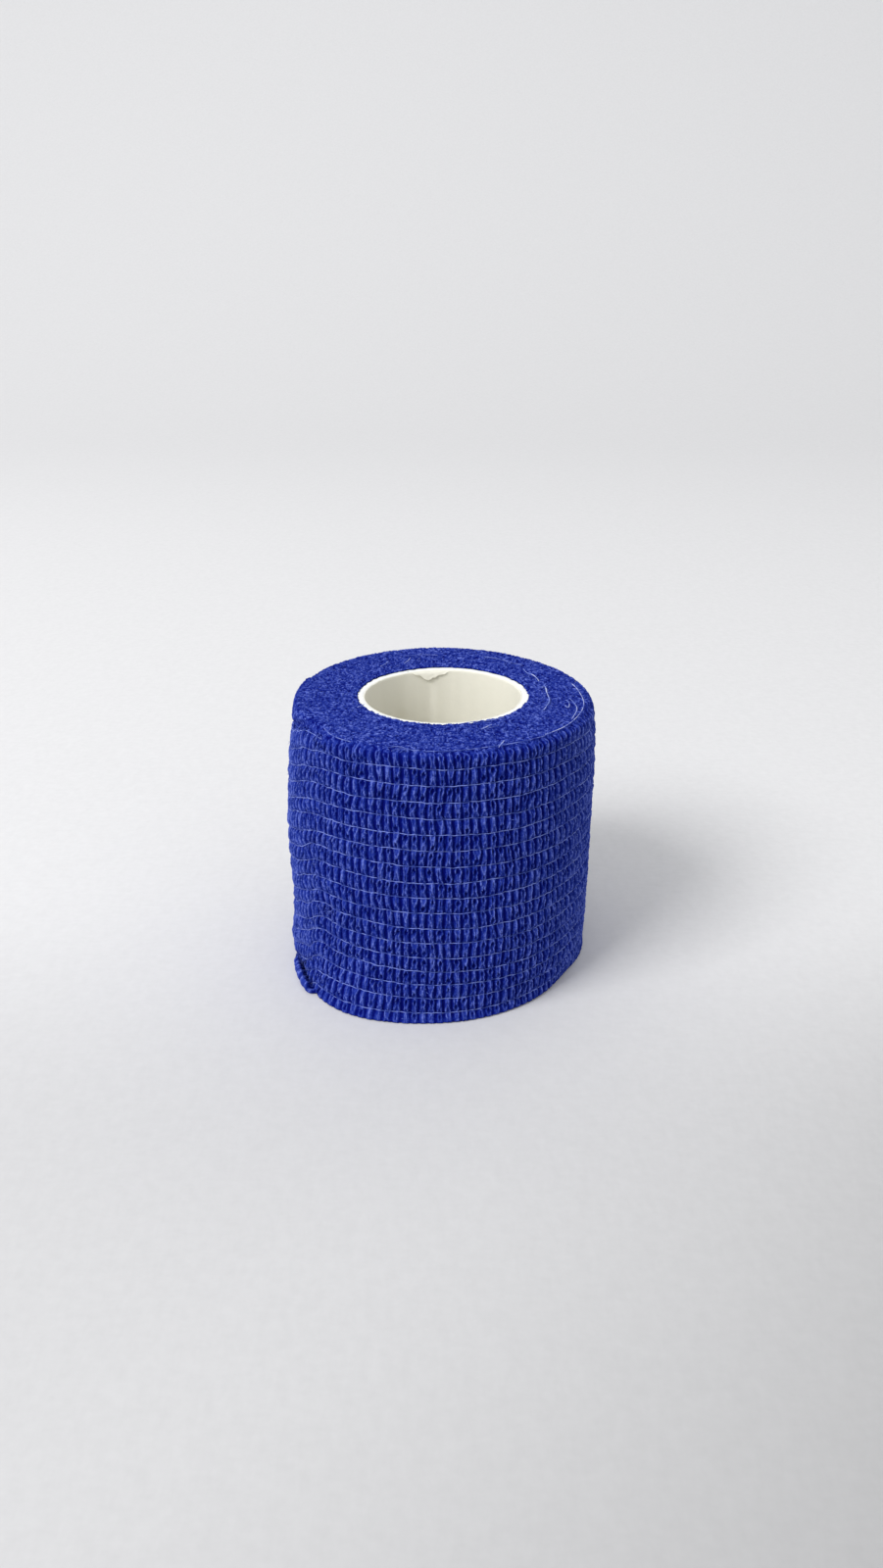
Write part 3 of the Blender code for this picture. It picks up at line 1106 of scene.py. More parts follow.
@dataclass
class StrayThreads:
    """The threads that have worked loose on the end face, and the web's own short fibres."""

    strip: Strip
    runs: tuple[Run, ...] = (
        Run(((10, 23.1), (5, 23.5), (357, 23.9), (349, 24.3), (341, 24.65), (333, 24.85), (325, 24.85),
             (318, 24.85), (311, 24.9)), 50.10),
        Run(((352, 21.9), (346, 22.9), (340, 23.8), (334, 24.3), (329, 24.6)), 50.25),
        Run(((349, 21.3), (346, 22.0), (341, 22.4), (342, 21.6)), 50.2),
        Run(((38, 18.6), (32, 17.9), (27, 18.2), (18, 17.9)), 50.18, 0.14),
        Run(((7, 17.5), (9, 18.1), (358, 18.0), (347, 18.6), (339, 18.7), (334, 18.8)), 50.18, 0.15),
        Run(((290, 25.4), (292, 24.5), (294, 23.6)), 50.28, 0.15),
        Run(((290, 17.9), (294, 17.4), (298, 16.8)), 50.2),
        Run(((131, 17.3), (126, 18.1), (122, 19.0)), 50.05),
        Run(((117, 15.8), (112, 17.2), (109, 18.5)), 50.28),
        Run(((206, 15.9), (205, 15.3), (204, 14.6)), 50.12, 0.15),
    )
    faint: tuple[Run, ...] = (
        Run(((311, 24.9), (307, 24.9), (303, 24.9), (295, 24.7), (287, 24.6), (278, 24.8), (269, 25.0),
             (263, 25.3))),
        Run(((280, 14.6), (287, 14.5), (294, 14.6), (300, 14.8), (306, 15.1), (311, 15.5)), 50.12),
        Run(((291, 17.6), (296, 17.8), (301, 17.5)), 50.25),
        Run(((112, 19.8), (106, 19.9), (100, 19.7), (93, 19.3)), 50.15),
        Run(((107, 16.5), (104, 17.6)), 50.3),
        Run(((67, 20.0), (60, 20.2), (50, 20.1), (44, 20.5)), 50.06),
        Run(((84, 20.9), (83, 22.0), (81, 22.6)), 50.28),
        Run(((221, 15.0), (226, 14.9), (233, 14.8)), 50.12),
        Run(((208, 15.8), (206, 15.1)), 50.05),
        Run(((252, 25.7), (254, 25.0), (257, 24.7), (260, 25.2)), 50.0),
        Run(((250, 25.2), (253, 24.4), (256, 24.6), (257, 25.4)), 50.05),
        Run(((255, 25.8), (257, 25.1), (262, 24.9)), 50.0),
        Run(((219, 24.6), (224, 25.3), (229, 25.6), (235, 25.4)), 49.9),
    )
    clusters: tuple[tuple[float, float], ...] = (
        (56, 24.6),
        (44, 24.7),
        (33, 24.5),
        (22, 24.0),
        (14, 24.5),
        (62, 24.2),
    )
    cluster_height: float = 49.75
    cluster_size: float = 0.5
    cluster_fibres: int = 4
    thick_from: float = 1.2
    end_fibres: int = 420
    end_height: float = 49.97
    end_margin: float = 2.6
    rim_height: float = 48.0
    bore: float = 15.6
    fibre_size: float = 0.55
    fibre_thickness: float = 0.07
    fibre_points: int = 5
    side_fibres: int = 150
    side_radius: float = 26.0
    side_top: float = 47.8
    tuft: int = 9
    tuft_size: float = 1.6

    def build_faint(self) -> bpy.types.Object:
        """The loose threads that barely show against the web."""
        draw = np.random.default_rng(Seed.FAINT_THREADS)
        paths = [self._eased(run, draw) for run in self.faint]
        return threads_piece("faint_threads", paths, self.faint[0].thickness, SIX_SIDES)

    def build_runs(self) -> bpy.types.Object:
        """The long pale threads, as they lie in the photograph; the thicker ones are drawn double."""
        draw = np.random.default_rng(Seed.STRAY_THREADS)
        paths = []
        thickness = min(run.thickness for run in self.runs)
        for run in self.runs:
            paths.append(self._eased(run, draw))
            if run.thickness > thickness * self.thick_from:
                paths.append(self._eased(run, draw))
        for angle, radius in self.clusters:
            for _ in range(self.cluster_fibres):
                paths.append(self._curl(draw, angle, radius, self.cluster_height, self.cluster_size))
        return threads_piece("stray_threads", paths, thickness, SIX_SIDES)

    def _eased(self, run: Run, draw: np.random.Generator) -> np.ndarray:
        """A smooth path through a run's places, with a small wave."""
        places = np.array(run.places, dtype=float)
        angle = np.degrees(np.unwrap(np.radians(places[:, 0])))
        step = np.arange(len(places), dtype=float)
        fine = np.linspace(0.0, len(places) - 1.0, (len(places) - 1) * 6 + 1)
        share = fine - np.floor(fine)
        angle, radius = (self._through(step, value, fine, share) for value in (angle, places[:, 1]))
        wave = draw.uniform(0.0, 6.28, 2)
        radius = radius + 0.06 * np.sin(fine * 1.9 + wave[0])
        lie = run.height + 0.06 * np.sin(fine * 1.3 + wave[1]) - self._fall(angle, radius)
        return round_points(angle, radius, lie)

    def _fall(self, angle: np.ndarray, radius: np.ndarray) -> np.ndarray:
        """How far the shoulder falls away under a place near the rim."""
        form = self.strip.form
        rim = form.outer_radius(angle, self.rim_height) - form.shoulder_width
        over = np.clip((radius - rim) / form.shoulder_width, 0.0, 1.0)
        return (form.shoulder_drop + 0.3 * form.slip(angle)) * (1.0 - np.sqrt(1.0 - over**2))

    @staticmethod
    def _through(step: np.ndarray, value: np.ndarray, fine: np.ndarray, share: np.ndarray) -> np.ndarray:
        """A smooth line through evenly spaced values."""
        padded = np.concatenate([[2 * value[0] - value[1]], value, [2 * value[-1] - value[-2]] * 2])
        at = np.minimum(np.floor(fine).astype(int), len(step) - 1)
        a, b, c, d = (padded[at + n] for n in range(4))
        cubic = (2 * b) + (c - a) * share + (2 * a - 5 * b + 4 * c - d) * share**2
        return 0.5 * (cubic + (3 * b - a - 3 * c + d) * share**3)

    def _curl(
        self, draw: np.random.Generator, angle: float, radius: float, level: float, size: float
    ) -> np.ndarray:
        """One short bent fibre that lies in and out of the crumb, at a level over the end face."""
        place = np.array(angle), np.array(radius)
        centre = round_points(*place, level - self._fall(*place))
        centre = centre + np.append(draw.normal(0.0, 0.35, 2), 0.0)
        heading = draw.uniform(0.0, 2.0 * math.pi)
        bend = draw.uniform(-2.4, 2.4)
        length = size * draw.uniform(0.5, 1.3)
        t = np.linspace(-0.5, 0.5, self.fibre_points)
        turn = heading + bend * t
        step = np.stack([np.cos(turn), np.sin(turn)], axis=1) * length / (self.fibre_points - 1)
        flat = np.cumsum(step, axis=0) - step.sum(axis=0) / 2.0
        rise = draw.uniform(0.02, 0.16) * np.cos(math.pi * t) + draw.uniform(-0.10, 0.10) * t - 0.08
        return centre + np.concatenate([flat, rise[:, None]], axis=1)

    def build_fibres(self) -> bpy.types.Object:
        """The short fibres that stand out of the crumbly end face and the rim."""
        draw = np.random.default_rng(Seed.END_FIBRES)
        form = self.strip.form
        paths = []
        for _ in range(self.end_fibres):
            angle = draw.uniform(0.0, 360.0)
            rim = float(form.outer_radius(np.array(angle), np.array(self.rim_height))) - self.end_margin
            radius = math.sqrt(draw.uniform(self.bore**2, rim**2))
            paths.append(self._curl(draw, angle, radius, self.end_height, self.fibre_size))
        return threads_piece("end_fibres", paths, self.fibre_thickness, FOUR_SIDES)

    def build_side(self) -> bpy.types.Object:
        """Wisps of fibre on the side, most of them short, with one pulled tuft near the left foot."""
        draw = np.random.default_rng(Seed.SIDE_FIBRES)
        paths = []
        for _ in range(self.side_fibres):
            place = draw.uniform(0.0, 360.0), draw.uniform(1.0, 47.0), draw.uniform(0.0, 6.3)
            paths.append(self._wisp(draw, *place, self.fibre_size))
        for _ in range(self.tuft):
            place = draw.normal(222.0, 0.9), draw.normal(16.8, 0.5), draw.normal(0.9, 0.35)
            paths.append(self._wisp(draw, *place, self.tuft_size))
        return threads_piece("side_fibres", paths, self.fibre_thickness, FOUR_SIDES)

    def _wisp(
        self, draw: np.random.Generator, angle: float, height: float, turn: float, size: float
    ) -> np.ndarray:
        """One fibre that lies along the side, its middle a little clear of it."""
        form = self.strip.form
        t = np.linspace(-0.5, 0.5, self.fibre_points)
        heading = turn + draw.uniform(-1.1, 1.1) * t
        step = size * draw.uniform(0.4, 1.3) / (self.fibre_points - 1)
        turned = angle + np.degrees(np.cumsum(np.cos(heading)) * step / self.side_radius)
        level = height + np.cumsum(np.sin(heading)) * step
        level = np.clip(level, 0.4, self.side_top - form.slip(turned))
        clear = draw.uniform(-0.22, -0.02) + 0.10 * np.cos(math.pi * t)
        return round_points(turned, form.outer_radius(turned, level) + clear, level)


def tube_oval(angle: np.ndarray) -> np.ndarray:
    """The tube's radius at each angle as a share of its widest, since it is a little oval."""
    turn = np.radians(angle)
    return 1.0 / np.hypot(np.cos(turn), np.sin(turn) / TUBE_SQUASH)


@dataclass
class CoreTube:
    """The paperboard tube: wound plies, with the rim cut a little unevenly and one ply torn."""

    outer_radius: float = 14.9
    wall: float = 1.4
    liner: float = 0.30
    length: float = 49.6
    columns: int = 300
    tear_from: float = 80.0
    tear_to: float = 118.0
    tear_tip: float = 101.0
    tear_depth: float = 2.0
    ply: float = 0.22
    torn_at: float = 100.0
    torn_spread: float = 14.0
    rim_fuzz: float = 0.05
    torn_fuzz: float = 0.10
    torn_drop: float = 0.12

    def liner_radius(self) -> float:
        """The radius where the liner meets the white plies."""
        return self.outer_radius - self.wall + self.liner

    def build(self) -> bpy.types.Object:
        """Make the tube as one closed ring."""
        inner = self.outer_radius - self.wall
        liner = self.liner_radius()
        top = self.length
        profile = [
            (self.outer_radius - 0.12, 0.0),
            (self.outer_radius, 0.12),
            (self.outer_radius, 0.5 * top),
            (self.outer_radius, top - 0.16),
            (self.outer_radius - 0.03, top - 0.05),
            (self.outer_radius - 0.12, top),
            (self.outer_radius - 0.45, top + 0.01),
            (self.outer_radius - 0.80, top),
            (liner + 0.07, top - 0.01),
            (liner + 0.01, top - 0.09),
            (liner - 0.05, top - 0.02),
            (inner + 0.12, top - 0.03),
            (inner + 0.03, top - 0.10),
            (inner, top - 0.22),
            (inner, top - 0.60),
            (inner, 0.5 * top),
            (inner, 0.12),
            (inner + 0.12, 0.0),
        ]
        angle = np.arange(self.columns)[:, None] * 360.0 / self.columns
        radius, height = np.repeat(np.array(profile).T[:, None, :], self.columns, axis=1)
        place = np.arange(len(profile))[None, :] * 0.35
        ragged = Weave.RIM_FUZZ.at(angle / 360.0, place)
        slow = Weave.RIM_SWAY.at(angle / 360.0)
        near_top = smooth_step((height - top + 0.5) / 0.4)
        torn = bell(angle_between(angle, self.torn_at) / self.torn_spread)
        fuzz = self.rim_fuzz + self.torn_fuzz * torn * (radius < liner + 0.2)
        radius = radius + fuzz * ragged * near_top
        points = round_points(angle * np.ones_like(radius), radius, height)
        points[..., 1] *= TUBE_SQUASH
        dropped = self.torn_drop * torn * (radius < liner + 0.1)
        points[..., 2] += (self.rim_fuzz * (ragged + slow) - dropped) * near_top
        return ring_piece("core_tube_board", points, np.full(radius.shape, 0.5))

    def build_tear(self) -> bpy.types.Object:
        """The torn inner ply, folded down from the back of the rim into the tube."""
        across, along = 34, 9
        angle = np.linspace(self.tear_from, self.tear_to, across)[:, None]
        share = np.linspace(0.0, 1.0, along)[None, :]
        before = (angle - self.tear_from) / (self.tear_tip - self.tear_from)
        after = (self.tear_to - angle) / (self.tear_to - self.tear_tip)
        reach = self.tear_depth * np.clip(np.minimum(before, after), 0.02, 1.0) ** 1.25
        rough = 1.0 + 0.16 * Weave.TEAR_EDGE.at(angle / 360.0)
        inner = self.outer_radius - self.wall
        fold = reach * share * rough
        radius = inner + 0.42 - 0.52 * smooth_step(fold / 0.5) - 0.22 * fold
        radius = radius + 0.05 * Weave.TEAR_FACE.at(angle / 360.0, share * 5.0)
        height = self.length + 0.10 * bell(fold / 0.35) - 0.92 * fold
        front = round_points(angle * np.ones_like(share), radius, height)
        back = round_points(angle * np.ones_like(share), radius + self.ply, height - 0.10)
        band = np.concatenate([front, back[:, ::-1]], axis=1)
        band[..., 1] *= TUBE_SQUASH
        return band_piece("torn_ply", band, np.full(band.shape[:2], 0.5))


@dataclass
class Wiring:
    """Adds nodes to a node tree and links them, so that a finish reads as sums of sockets."""

    tree: bpy.types.NodeTree

    def node(self, kind: str, **settings: object) -> bpy.types.Node:
        """A new shader node of a kind, with its settings."""
        made = self.tree.nodes.new(f"ShaderNode{kind}")
        for name, value in settings.items():
            setattr(made, name, value)
        return made

    def feed(self, socket: bpy.types.NodeSocket, value: object) -> None:
        """Link another socket into a socket, or give it a constant."""
        if isinstance(value, bpy.types.NodeSocket):
            self.tree.links.new(value, socket)
        else:
            socket.default_value = value

    def maths(self, operation: str, *values: object) -> bpy.types.NodeSocket:
        """One sum of sockets and numbers."""
        made = self.node("Math", operation=operation)
        for socket, value in zip(made.inputs, values):
            self.feed(socket, value)
        return made.outputs[0]

    def ranged(self, value: bpy.types.NodeSocket, **limits: float) -> bpy.types.Node:
        """A value moved from one range to another and held inside it.

        Args:
            value: The value to move.
            limits: The map's own sockets, such as from_min and to_max.

        Returns:
            The node, whose Result is the moved value.
        """
        made = self.node("MapRange")
        for name, limit in limits.items():
            made.inputs[name.replace("_", " ").title()].default_value = limit
        self.feed(made.inputs["Value"], value)
        return made

    def about(self, mask: bpy.types.NodeSocket, middle: float, spread: float) -> bpy.types.NodeSocket:
        """A value that a mask from 0 to 1 carries evenly to both sides of its middle."""
        return self.maths("MULTIPLY_ADD", mask, spread, middle - 0.5 * spread)

    def stops(self, tone: bpy.types.NodeSocket, stops: tuple) -> bpy.types.NodeSocket:
        """A colour that runs through stops of place and colour as the tone rises."""
        ramp = self.node("ValToRGB")
        elements = ramp.color_ramp.elements
        while len(elements) < len(stops):
            elements.new(0.5)
        for element, (place, colour) in zip(elements, stops):
            element.position = place
            element.color = (*colour, 1.0)
        self.feed(ramp.inputs["Fac"], tone)
        return ramp.outputs["Color"]

    def covered(
        self, base: bpy.types.NodeSocket, colour: tuple[float, float, float], mask: bpy.types.NodeSocket
    ) -> bpy.types.NodeSocket:
        """A base colour with another colour over it where a mask is 1."""
        mix = self.node("Mix", data_type="RGBA")
        mix.inputs["B"].default_value = (*colour, 1.0)
        self.feed(mix.inputs["A"], base)
        self.feed(mix.inputs["Factor"], mask)
        return mix.outputs["Result"]

    def web(self, scale: float) -> bpy.types.Node:
        """The shared group of matted fibres, at a scale."""
        made = self.node("Group", node_tree=fibre_group())
        made.inputs["Scale"].default_value = scale
        return made

    def bump(self, height: bpy.types.NodeSocket, strength: float, distance: float) -> bpy.types.NodeSocket:
        """A normal that follows a height, whose whole range is a distance in metres."""
        made = self.node("Bump")
        made.inputs["Strength"].default_value = strength
        made.inputs["Distance"].default_value = distance
        self.feed(made.inputs["Height"], height)
        return made.outputs["Normal"]


def new_look(name: str, gloss: float) -> tuple[bpy.types.Material, Wiring, bpy.types.Node]:
    """A new material with its wiring and its shader."""
    look = bpy.data.materials.new(name)
    look.use_nodes = True
    shader = look.node_tree.nodes["Principled BSDF"]
    shader.inputs["Specular IOR Level"].default_value = gloss
    return look, Wiring(look.node_tree), shader


@dataclass(frozen=True)
class ClothFinish:
    """The blue nonwoven web, with painted light: navy in its valleys as painted shade, paler along its crests
    as painted highlight.
    """

    name: str = "blue_nonwoven_painted_light"
    valley: tuple[float, float, float] = (0.0004, 0.0030, 0.140)
    flank: tuple[float, float, float] = (0.0060, 0.019, 0.235)
    face: tuple[float, float, float] = (0.026, 0.050, 0.335)
    ridge: tuple[float, float, float] = (0.150, 0.205, 0.650)
    grain_scale: float = 3400.0
    grain_share: float = 0.42
    cloud_share: float = 0.10
    fibre_share: float = 0.16
    roughness: float = 0.92
    roughness_spread: float = 0.12
    gloss: float = 0.06
    bump_strength: float = 0.8
    bump_depth: float = 0.00010

    def build(self) -> bpy.types.Material:
        """Make the material from the crest mask's painted highlight and shade, the matted grain and its
        single fibres.
        """
        look, wiring, shader = new_look(self.name, self.gloss)
        web = wiring.web(self.grain_scale)
        tone = wiring.node("Attribute", attribute_name=CREST_PAINTED_LIGHT).outputs["Fac"]
        shares = {"Grain": self.grain_share, "Clouds": self.cloud_share, "Fibres": self.fibre_share}
        for mask, share in shares.items():
            tone = wiring.maths("ADD", tone, wiring.about(web.outputs[mask], 0.0, share))
        # The stops run from painted shade in the valleys to painted highlight on the ridges.
        stops = ((0.08, self.valley), (0.36, self.flank), (0.62, self.face), (1.0, self.ridge))
        grain = web.outputs["Grain"]
        wiring.feed(shader.inputs["Base Color"], wiring.stops(tone, stops))
        wiring.feed(shader.inputs["Roughness"], wiring.about(grain, self.roughness, self.roughness_spread))
        wiring.feed(shader.inputs["Normal"], wiring.bump(grain, self.bump_strength, self.bump_depth))
        return look


@dataclass(frozen=True)
class ThreadFinish:
    """Threads and loose fibres: pale blue, their tone wandering along each one. pale blue, brighter where
    they lie clear of the web.
    """

    name: str
    dark: tuple[float, float, float]
    pale: tuple[float, float, float]
    scale: float = 620.0
    roughness: float = 0.6
    roughness_spread: float = 0.2
    gloss: float = 0.2

    def build(self) -> bpy.types.Material:
        """Make the material, its tone wandering along the thread."""
        look, wiring, shader = new_look(self.name, self.gloss)
        grain = wiring.web(self.scale).outputs["Grain"]
        colour = wiring.stops(grain, ((0.36, self.dark), (0.64, self.pale)))
        wiring.feed(shader.inputs["Base Color"], colour)
        wiring.feed(shader.inputs["Roughness"], wiring.about(grain, self.roughness, self.roughness_spread))
        return look


@dataclass(frozen=True)
class BoardFinish:
    """Paperboard: white plies at the cut rim and a cream liner, with faint scuffs."""

    name: str = "tube_board"
    white: tuple[float, float, float] = (0.92, 0.93, 0.92)
    cream: tuple[float, float, float] = (0.835, 0.815, 0.72)
    scuffed: tuple[float, float, float] = (0.76, 0.73, 0.62)
    scale: float = 900.0
    roughness: float = 0.85
    roughness_spread: float = 0.15
    gloss: float = 0.2
    bump_strength: float = 0.35
    bump_depth: float = 0.00006
    split_blur: float = 0.00005
    seam_rise: float = 62.0
    seam_width: float = 0.03
    seam_tone: float = 0.22

    def build(self, split: float) -> bpy.types.Material:
        """Make the material.

        Args:
            split: The radius in metres inside which the cream liner shows.

        Returns:
            The material, white outside the split and cream inside it.
        """
        look, wiring, shader = new_look(self.name, self.gloss)
        web = wiring.web(self.scale)
        grain = web.outputs["Grain"]
        worn = wiring.stops(web.outputs["Clouds"], ((0.0, self.scuffed), (0.22, self.cream)))
        plies = wiring.covered(worn, self.white, self._radius_mask(wiring, split))
        seamed = wiring.covered(plies, self.scuffed, self._seam_mask(wiring))
        wiring.feed(shader.inputs["Base Color"], seamed)
        wiring.feed(shader.inputs["Roughness"], wiring.about(grain, self.roughness, self.roughness_spread))
        wiring.feed(shader.inputs["Normal"], wiring.bump(grain, self.bump_strength, self.bump_depth))
        return look

    @staticmethod
    def _centred(wiring: Wiring) -> bpy.types.NodeSocket:
        """Object coordinates measured from the tube's axis."""
        centred = wiring.node("Mapping")
        centred.inputs["Location"].default_value = (-ROLL_AXIS[0], -ROLL_AXIS[1], 0.0)
        wiring.feed(centred.inputs["Vector"], wiring.node("TexCoord").outputs["Object"])
        return centred.outputs["Vector"]

    def _radius_mask(self, wiring: Wiring, split: float) -> bpy.types.NodeSocket:
        """1 outside the split radius, 0 inside it."""
        flat = wiring.node("VectorMath", operation="MULTIPLY")
        flat.inputs[1].default_value = (1.0, 1.0 / TUBE_SQUASH, 0.0)
        wiring.feed(flat.inputs[0], self._centred(wiring))
        length = wiring.node("VectorMath", operation="LENGTH")
        wiring.feed(length.inputs[0], flat.outputs["Vector"])
        limits = {"from_min": split - self.split_blur, "from_max": split + self.split_blur}
        return wiring.ranged(length.outputs["Value"], **limits).outputs["Result"]

    def _seam_mask(self, wiring: Wiring) -> bpy.types.NodeSocket:
        """A faint line where the liner's spiral edges meet."""
        parts = wiring.node("SeparateXYZ")
        wiring.feed(parts.inputs["Vector"], self._centred(wiring))
        around = wiring.maths("ARCTAN2", parts.outputs["Y"], parts.outputs["X"])
        risen = wiring.maths("MULTIPLY_ADD", parts.outputs["Z"], self.seam_rise, around)
        folded = wiring.maths("PINGPONG", risen, math.pi)
        limits = {"from_min": 0.0, "from_max": self.seam_width, "to_min": self.seam_tone, "to_max": 0.0}
        return wiring.ranged(folded, **limits).outputs["Result"]


def fibre_group() -> bpy.types.NodeTree:
    """The shared node group of matted fibres.

    Returns:
        A group with a Scale input and three masks: Grain, the mat at fibre scale, Clouds, its
        broad unevenness, and Fibres, thin single fibres that lie across it.
    """
    known = bpy.data.node_groups.get("matted_fibres")
    if known:
        return known
    group = bpy.data.node_groups.new("matted_fibres", "ShaderNodeTree")
    scale = group.interface.new_socket("Scale", in_out="INPUT", socket_type="NodeSocketFloat")
    scale.default_value = 2500.0
    for name in ("Grain", "Clouds", "Fibres"):
        group.interface.new_socket(name, in_out="OUTPUT", socket_type="NodeSocketFloat")
    wiring = Wiring(group)
    start, end = group.nodes.new("NodeGroupInput"), group.nodes.new("NodeGroupOutput")
    place = wiring.node("TexCoord")

    def noise(stretch: tuple, turn: float, factor: float, detail: float) -> bpy.types.NodeSocket:
        """One noise on stretched and turned Object coordinates."""
        mapping = wiring.node("Mapping")
        mapping.inputs["Rotation"].default_value = (turn, 0.4 * turn, turn)
        mapping.inputs["Scale"].default_value = stretch
        texture = wiring.node("TexNoise")
        texture.inputs["Detail"].default_value = detail
        texture.inputs["Roughness"].default_value = 0.65
        wiring.feed(mapping.inputs["Vector"], place.outputs["Object"])
        wiring.feed(texture.inputs["Vector"], mapping.outputs["Vector"])
        wiring.feed(texture.inputs["Scale"], wiring.maths("MULTIPLY", start.outputs["Scale"], factor))
        return texture.outputs["Fac"]

    def stretched(value: bpy.types.NodeSocket, low: float, high: float) -> bpy.types.NodeSocket:
        """A value stretched so that low goes to 0 and high to 1, and held there."""
        return wiring.ranged(value, from_min=low, from_max=high).outputs["Result"]

    both = wiring.maths("ADD", noise((1.0, 0.45, 0.7), 0.5, 1.0, 2.0), noise((0.5, 1.0, 0.9), 2.1, 1.25, 2.0))
    wiring.feed(end.inputs["Grain"], stretched(wiring.maths("MULTIPLY", both, 0.5), 0.34, 0.66))
    wiring.feed(end.inputs["Clouds"], stretched(noise((1.0, 1.0, 1.0), 1.2, 0.10, 1.0), 0.3, 0.7))
    lines = None
    for turn, stretch in ((0.3, (1.0, 0.10, 0.5)), (1.4, (0.12, 1.0, 0.6)), (2.6, (0.5, 1.0, 0.12))):
        away = wiring.maths("ABSOLUTE", wiring.maths("SUBTRACT", noise(stretch, turn, 0.9, 0.0), 0.5))
        thin = stretched(away, 0.022, 0.0)
        lines = thin if lines is None else wiring.maths("MAXIMUM", lines, thin)
    wiring.feed(end.inputs["Fibres"], lines)
    return group


@dataclass(frozen=True)
class PaintedFade:
    """A part of the paper painted lighter or darker along a heading: painted light and shade on the paper."""

    heading: tuple[float, float, float]
    start: float
    end: float
    tone: float


@dataclass
class Studio:
    """The pale surface that sweeps up behind, the soft light and the camera."""

    camera_distance: float = 190.9
    camera_height: float = 123.5
    camera_pitch: float = 25.5
    camera_yaw: float = 0.072
    lens: float = 27.0
    sensor: float = 36.0
    width: float = 5.0
    front: float = -2.4
    bend: float = 0.55
    bend_radius: float = 0.9
    top: float = 3.0
    floor_colour: tuple[float, float, float] = (0.785, 0.78, 0.785)
    floor_shade: tuple[float, float, float] = (0.75, 0.745, 0.75)
    floor_grain: float = 700.0
    floor_roughness: float = 0.95
    floor_gloss: float = 0.1
    # Painted shade on the paper: darker just in front of the roll and towards the front right; painted light
    # a little paler far behind.
    painted_fades: tuple[PaintedFade, ...] = (
        PaintedFade((0.0, -1.0, 0.0), -0.02, 0.06, 0.83),
        PaintedFade((0.7, -0.7, 0.0), 0.04, 0.15, 0.64),
        PaintedFade((0.0, 1.0, 0.0), 0.0, 0.35, 1.035),
        PaintedFade((0.0, 1.0, 0.0), 0.45, 1.30, 1.05),
    )
    sky: tuple[float, float, float] = (0.97, 0.985, 1.0)
    sky_strength: float = 0.74
    key_power: float = 13.0
    key_size: float = 0.60
    key_place: tuple[float, float, float] = (-0.78, -0.62, 0.98)
    key_aim: float = 0.02

    def build(self) -> None:
        """Lay the floor, hang the lights and set the camera."""
        self._sweep()
        self._sky()
        self._key()
        self._camera()
        bpy.context.scene.view_settings.view_transform = "Standard"

    def _sweep(self) -> None:
        """A large pale sheet that lies under the roll and curves up far behind it."""
        arc = np.linspace(0.0, 0.5 * math.pi, 24)
        flat = np.linspace(self.front, self.bend, 12)[:-1]
        along = np.concatenate([flat, self.bend + self.bend_radius * np.sin(arc)])
        rise = np.concatenate([np.zeros_like(flat), self.bend_radius * (1.0 - np.cos(arc))])
        along, rise = np.append(along, along[-1]), np.append(rise, self.top)
        across = np.linspace(-0.5, 0.5, 9) * self.width
        deselect()
        bpy.ops.mesh.primitive_grid_add(x_subdivisions=len(across) - 1, y_subdivisions=len(along) - 1)
        sweep = take_new("sweep")
        columns = np.broadcast_arrays(across[None, :], along[:, None], rise[:, None])
        sweep.data.vertices.foreach_set("co", np.stack(columns, axis=-1).astype(np.float32).ravel())
        sweep.data.update()
        sweep.data.shade_smooth()
        look, wiring, shader = new_look("pale_paper", self.floor_gloss)
        shader.inputs["Roughness"].default_value = self.floor_roughness
        grain = wiring.web(self.floor_grain).outputs["Grain"]
        paper = wiring.stops(grain, ((0.0, self.floor_shade), (1.0, self.floor_colour)))
        wiring.feed(shader.inputs["Base Color"], self._with_painted_light(wiring, paper))
        sweep.data.materials.append(look)

    def _with_painted_light(self, wiring: Wiring, paper: bpy.types.NodeSocket) -> bpy.types.NodeSocket:
        """The paper's colour with painted light: painted shade in front and to the right, and painted light a
        little paler far behind.
        """
        place = wiring.node("TexCoord")
        for fade in self.painted_fades:
            along = wiring.node("VectorMath", operation="DOT_PRODUCT")
            along.inputs[1].default_value = fade.heading
            wiring.feed(along.inputs[0], place.outputs["Object"])
            limits = {"from_min": fade.start, "from_max": fade.end, "to_min": 1.0, "to_max": fade.tone}
            eased = wiring.ranged(along.outputs["Value"], **limits)
            eased.interpolation_type = "SMOOTHSTEP"
            scaled = wiring.node("VectorMath", operation="SCALE")
            wiring.feed(scaled.inputs[0], paper)
            wiring.feed(scaled.inputs["Scale"], eased.outputs["Result"])
            paper = scaled.outputs["Vector"]
        return paper

    def _sky(self) -> None:
        """Even light from all round."""
        world = bpy.data.worlds.new("soft_room")
        world.use_nodes = True
        background = world.node_tree.nodes["Background"]
        background.inputs["Color"].default_value = (*self.sky, 1.0)
        background.inputs["Strength"].default_value = self.sky_strength
        bpy.context.scene.world = world

    def _key(self) -> None:
        """One large soft light from the left."""
        light = bpy.data.lights.new("window", "AREA")
        light.energy = self.key_power
        light.size = self.key_size
        lamp = bpy.data.objects.new("window", light)
        lamp.location = self.key_place
        aim = np.array([0.0, 0.0, self.key_aim]) - np.array(self.key_place)
        flat = math.hypot(aim[0], aim[1])
        lamp.rotation_euler = (math.atan2(flat, -aim[2]), 0.0, math.atan2(-aim[0], aim[1]))
        bpy.context.scene.collection.objects.link(lamp)

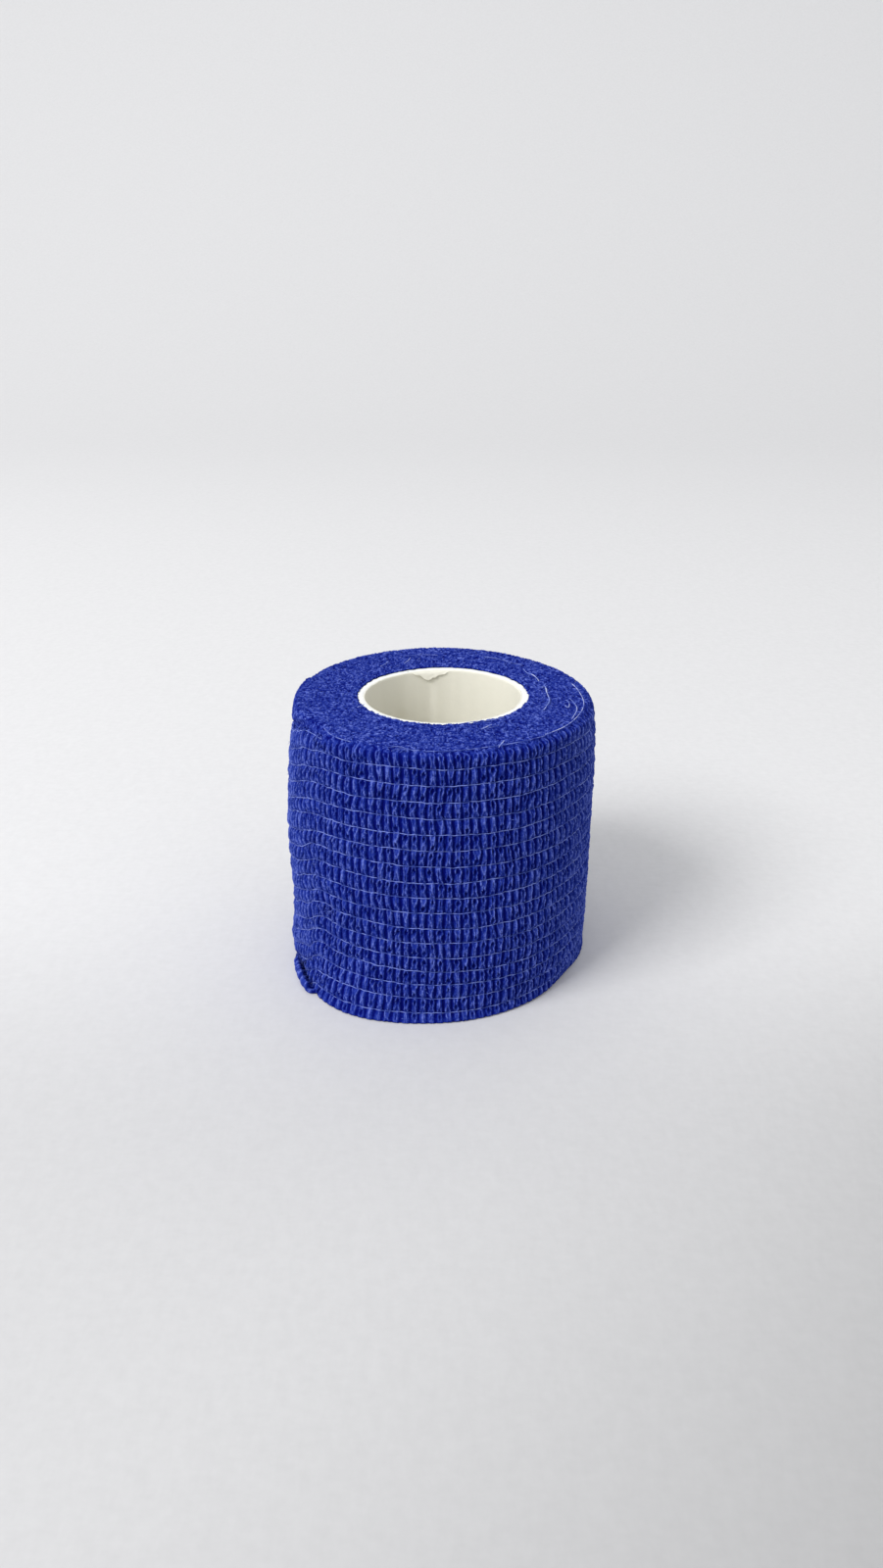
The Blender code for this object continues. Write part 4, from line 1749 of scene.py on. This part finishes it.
    def _camera(self) -> None:
        """The camera, at the photograph's angle and distance."""
        data = bpy.data.cameras.new("camera")
        data.lens = self.lens
        data.sensor_width = self.sensor
        data.clip_start = 0.005
        camera = bpy.data.objects.new("camera", data)
        camera.location = (
            ROLL_AXIS[0],
            ROLL_AXIS[1] - self.camera_distance * MM,
            self.camera_height * MM,
        )
        camera.rotation_euler = (math.radians(90.0 - self.camera_pitch), 0.0, math.radians(self.camera_yaw))
        bpy.context.scene.collection.objects.link(camera)
        bpy.context.scene.camera = camera


def roll_axis() -> np.ndarray:
    """Where the tube's axis meets the surface, from the frame."""
    low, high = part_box("core_tube")
    return np.array([(low[0] + high[0]) / 2.0, (low[1] + high[1]) / 2.0, 0.0])


ROLL_AXIS = roll_axis()


def main() -> None:
    """Build every piece, dress it and set the scene."""
    logging.basicConfig(level=logging.INFO, format="%(name)s: %(message)s")
    strip = Strip(RollForm(), Puckers(), Crumb())
    cloth = ClothFinish().build()
    thread = ThreadFinish("elastic_thread", dark=(0.040, 0.072, 0.36), pale=(0.20, 0.265, 0.70)).build()
    stray = ThreadFinish("stray_thread", dark=(0.17, 0.24, 0.68), pale=(0.55, 0.62, 0.93)).build()
    fibre = ThreadFinish("loose_fibre", dark=(0.030, 0.062, 0.40), pale=(0.13, 0.19, 0.66)).build()
    tube = CoreTube()
    board = BoardFinish().build(tube.liner_radius() * MM)

    Studio().build()
    for turn in OuterTurn(strip).build():
        dress(turn, cloth)
        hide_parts("wound_roll")
    edges = TurnEdges(strip).build()
    dress(edges, cloth)
    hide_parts("wound_roll")
    loose = LooseEnd(strip).build()
    dress(loose, cloth)
    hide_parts("loose_end")
    threads = ElasticThreads(strip)
    dress(threads.build_roll(), thread)
    loose_threads = threads.build_loose()
    dress(loose_threads, thread)
    strays = StrayThreads(strip)
    dress(strays.build_runs(), stray)
    dress(strays.build_faint(), thread)
    dress(strays.build_fibres(), fibre)
    dress(strays.build_side(), fibre)
    core = tube.build()
    dress(core, board)
    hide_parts("core_tube")
    tear = tube.build_tear()
    dress(tear, board)


if __name__ == "__main__":
    main()
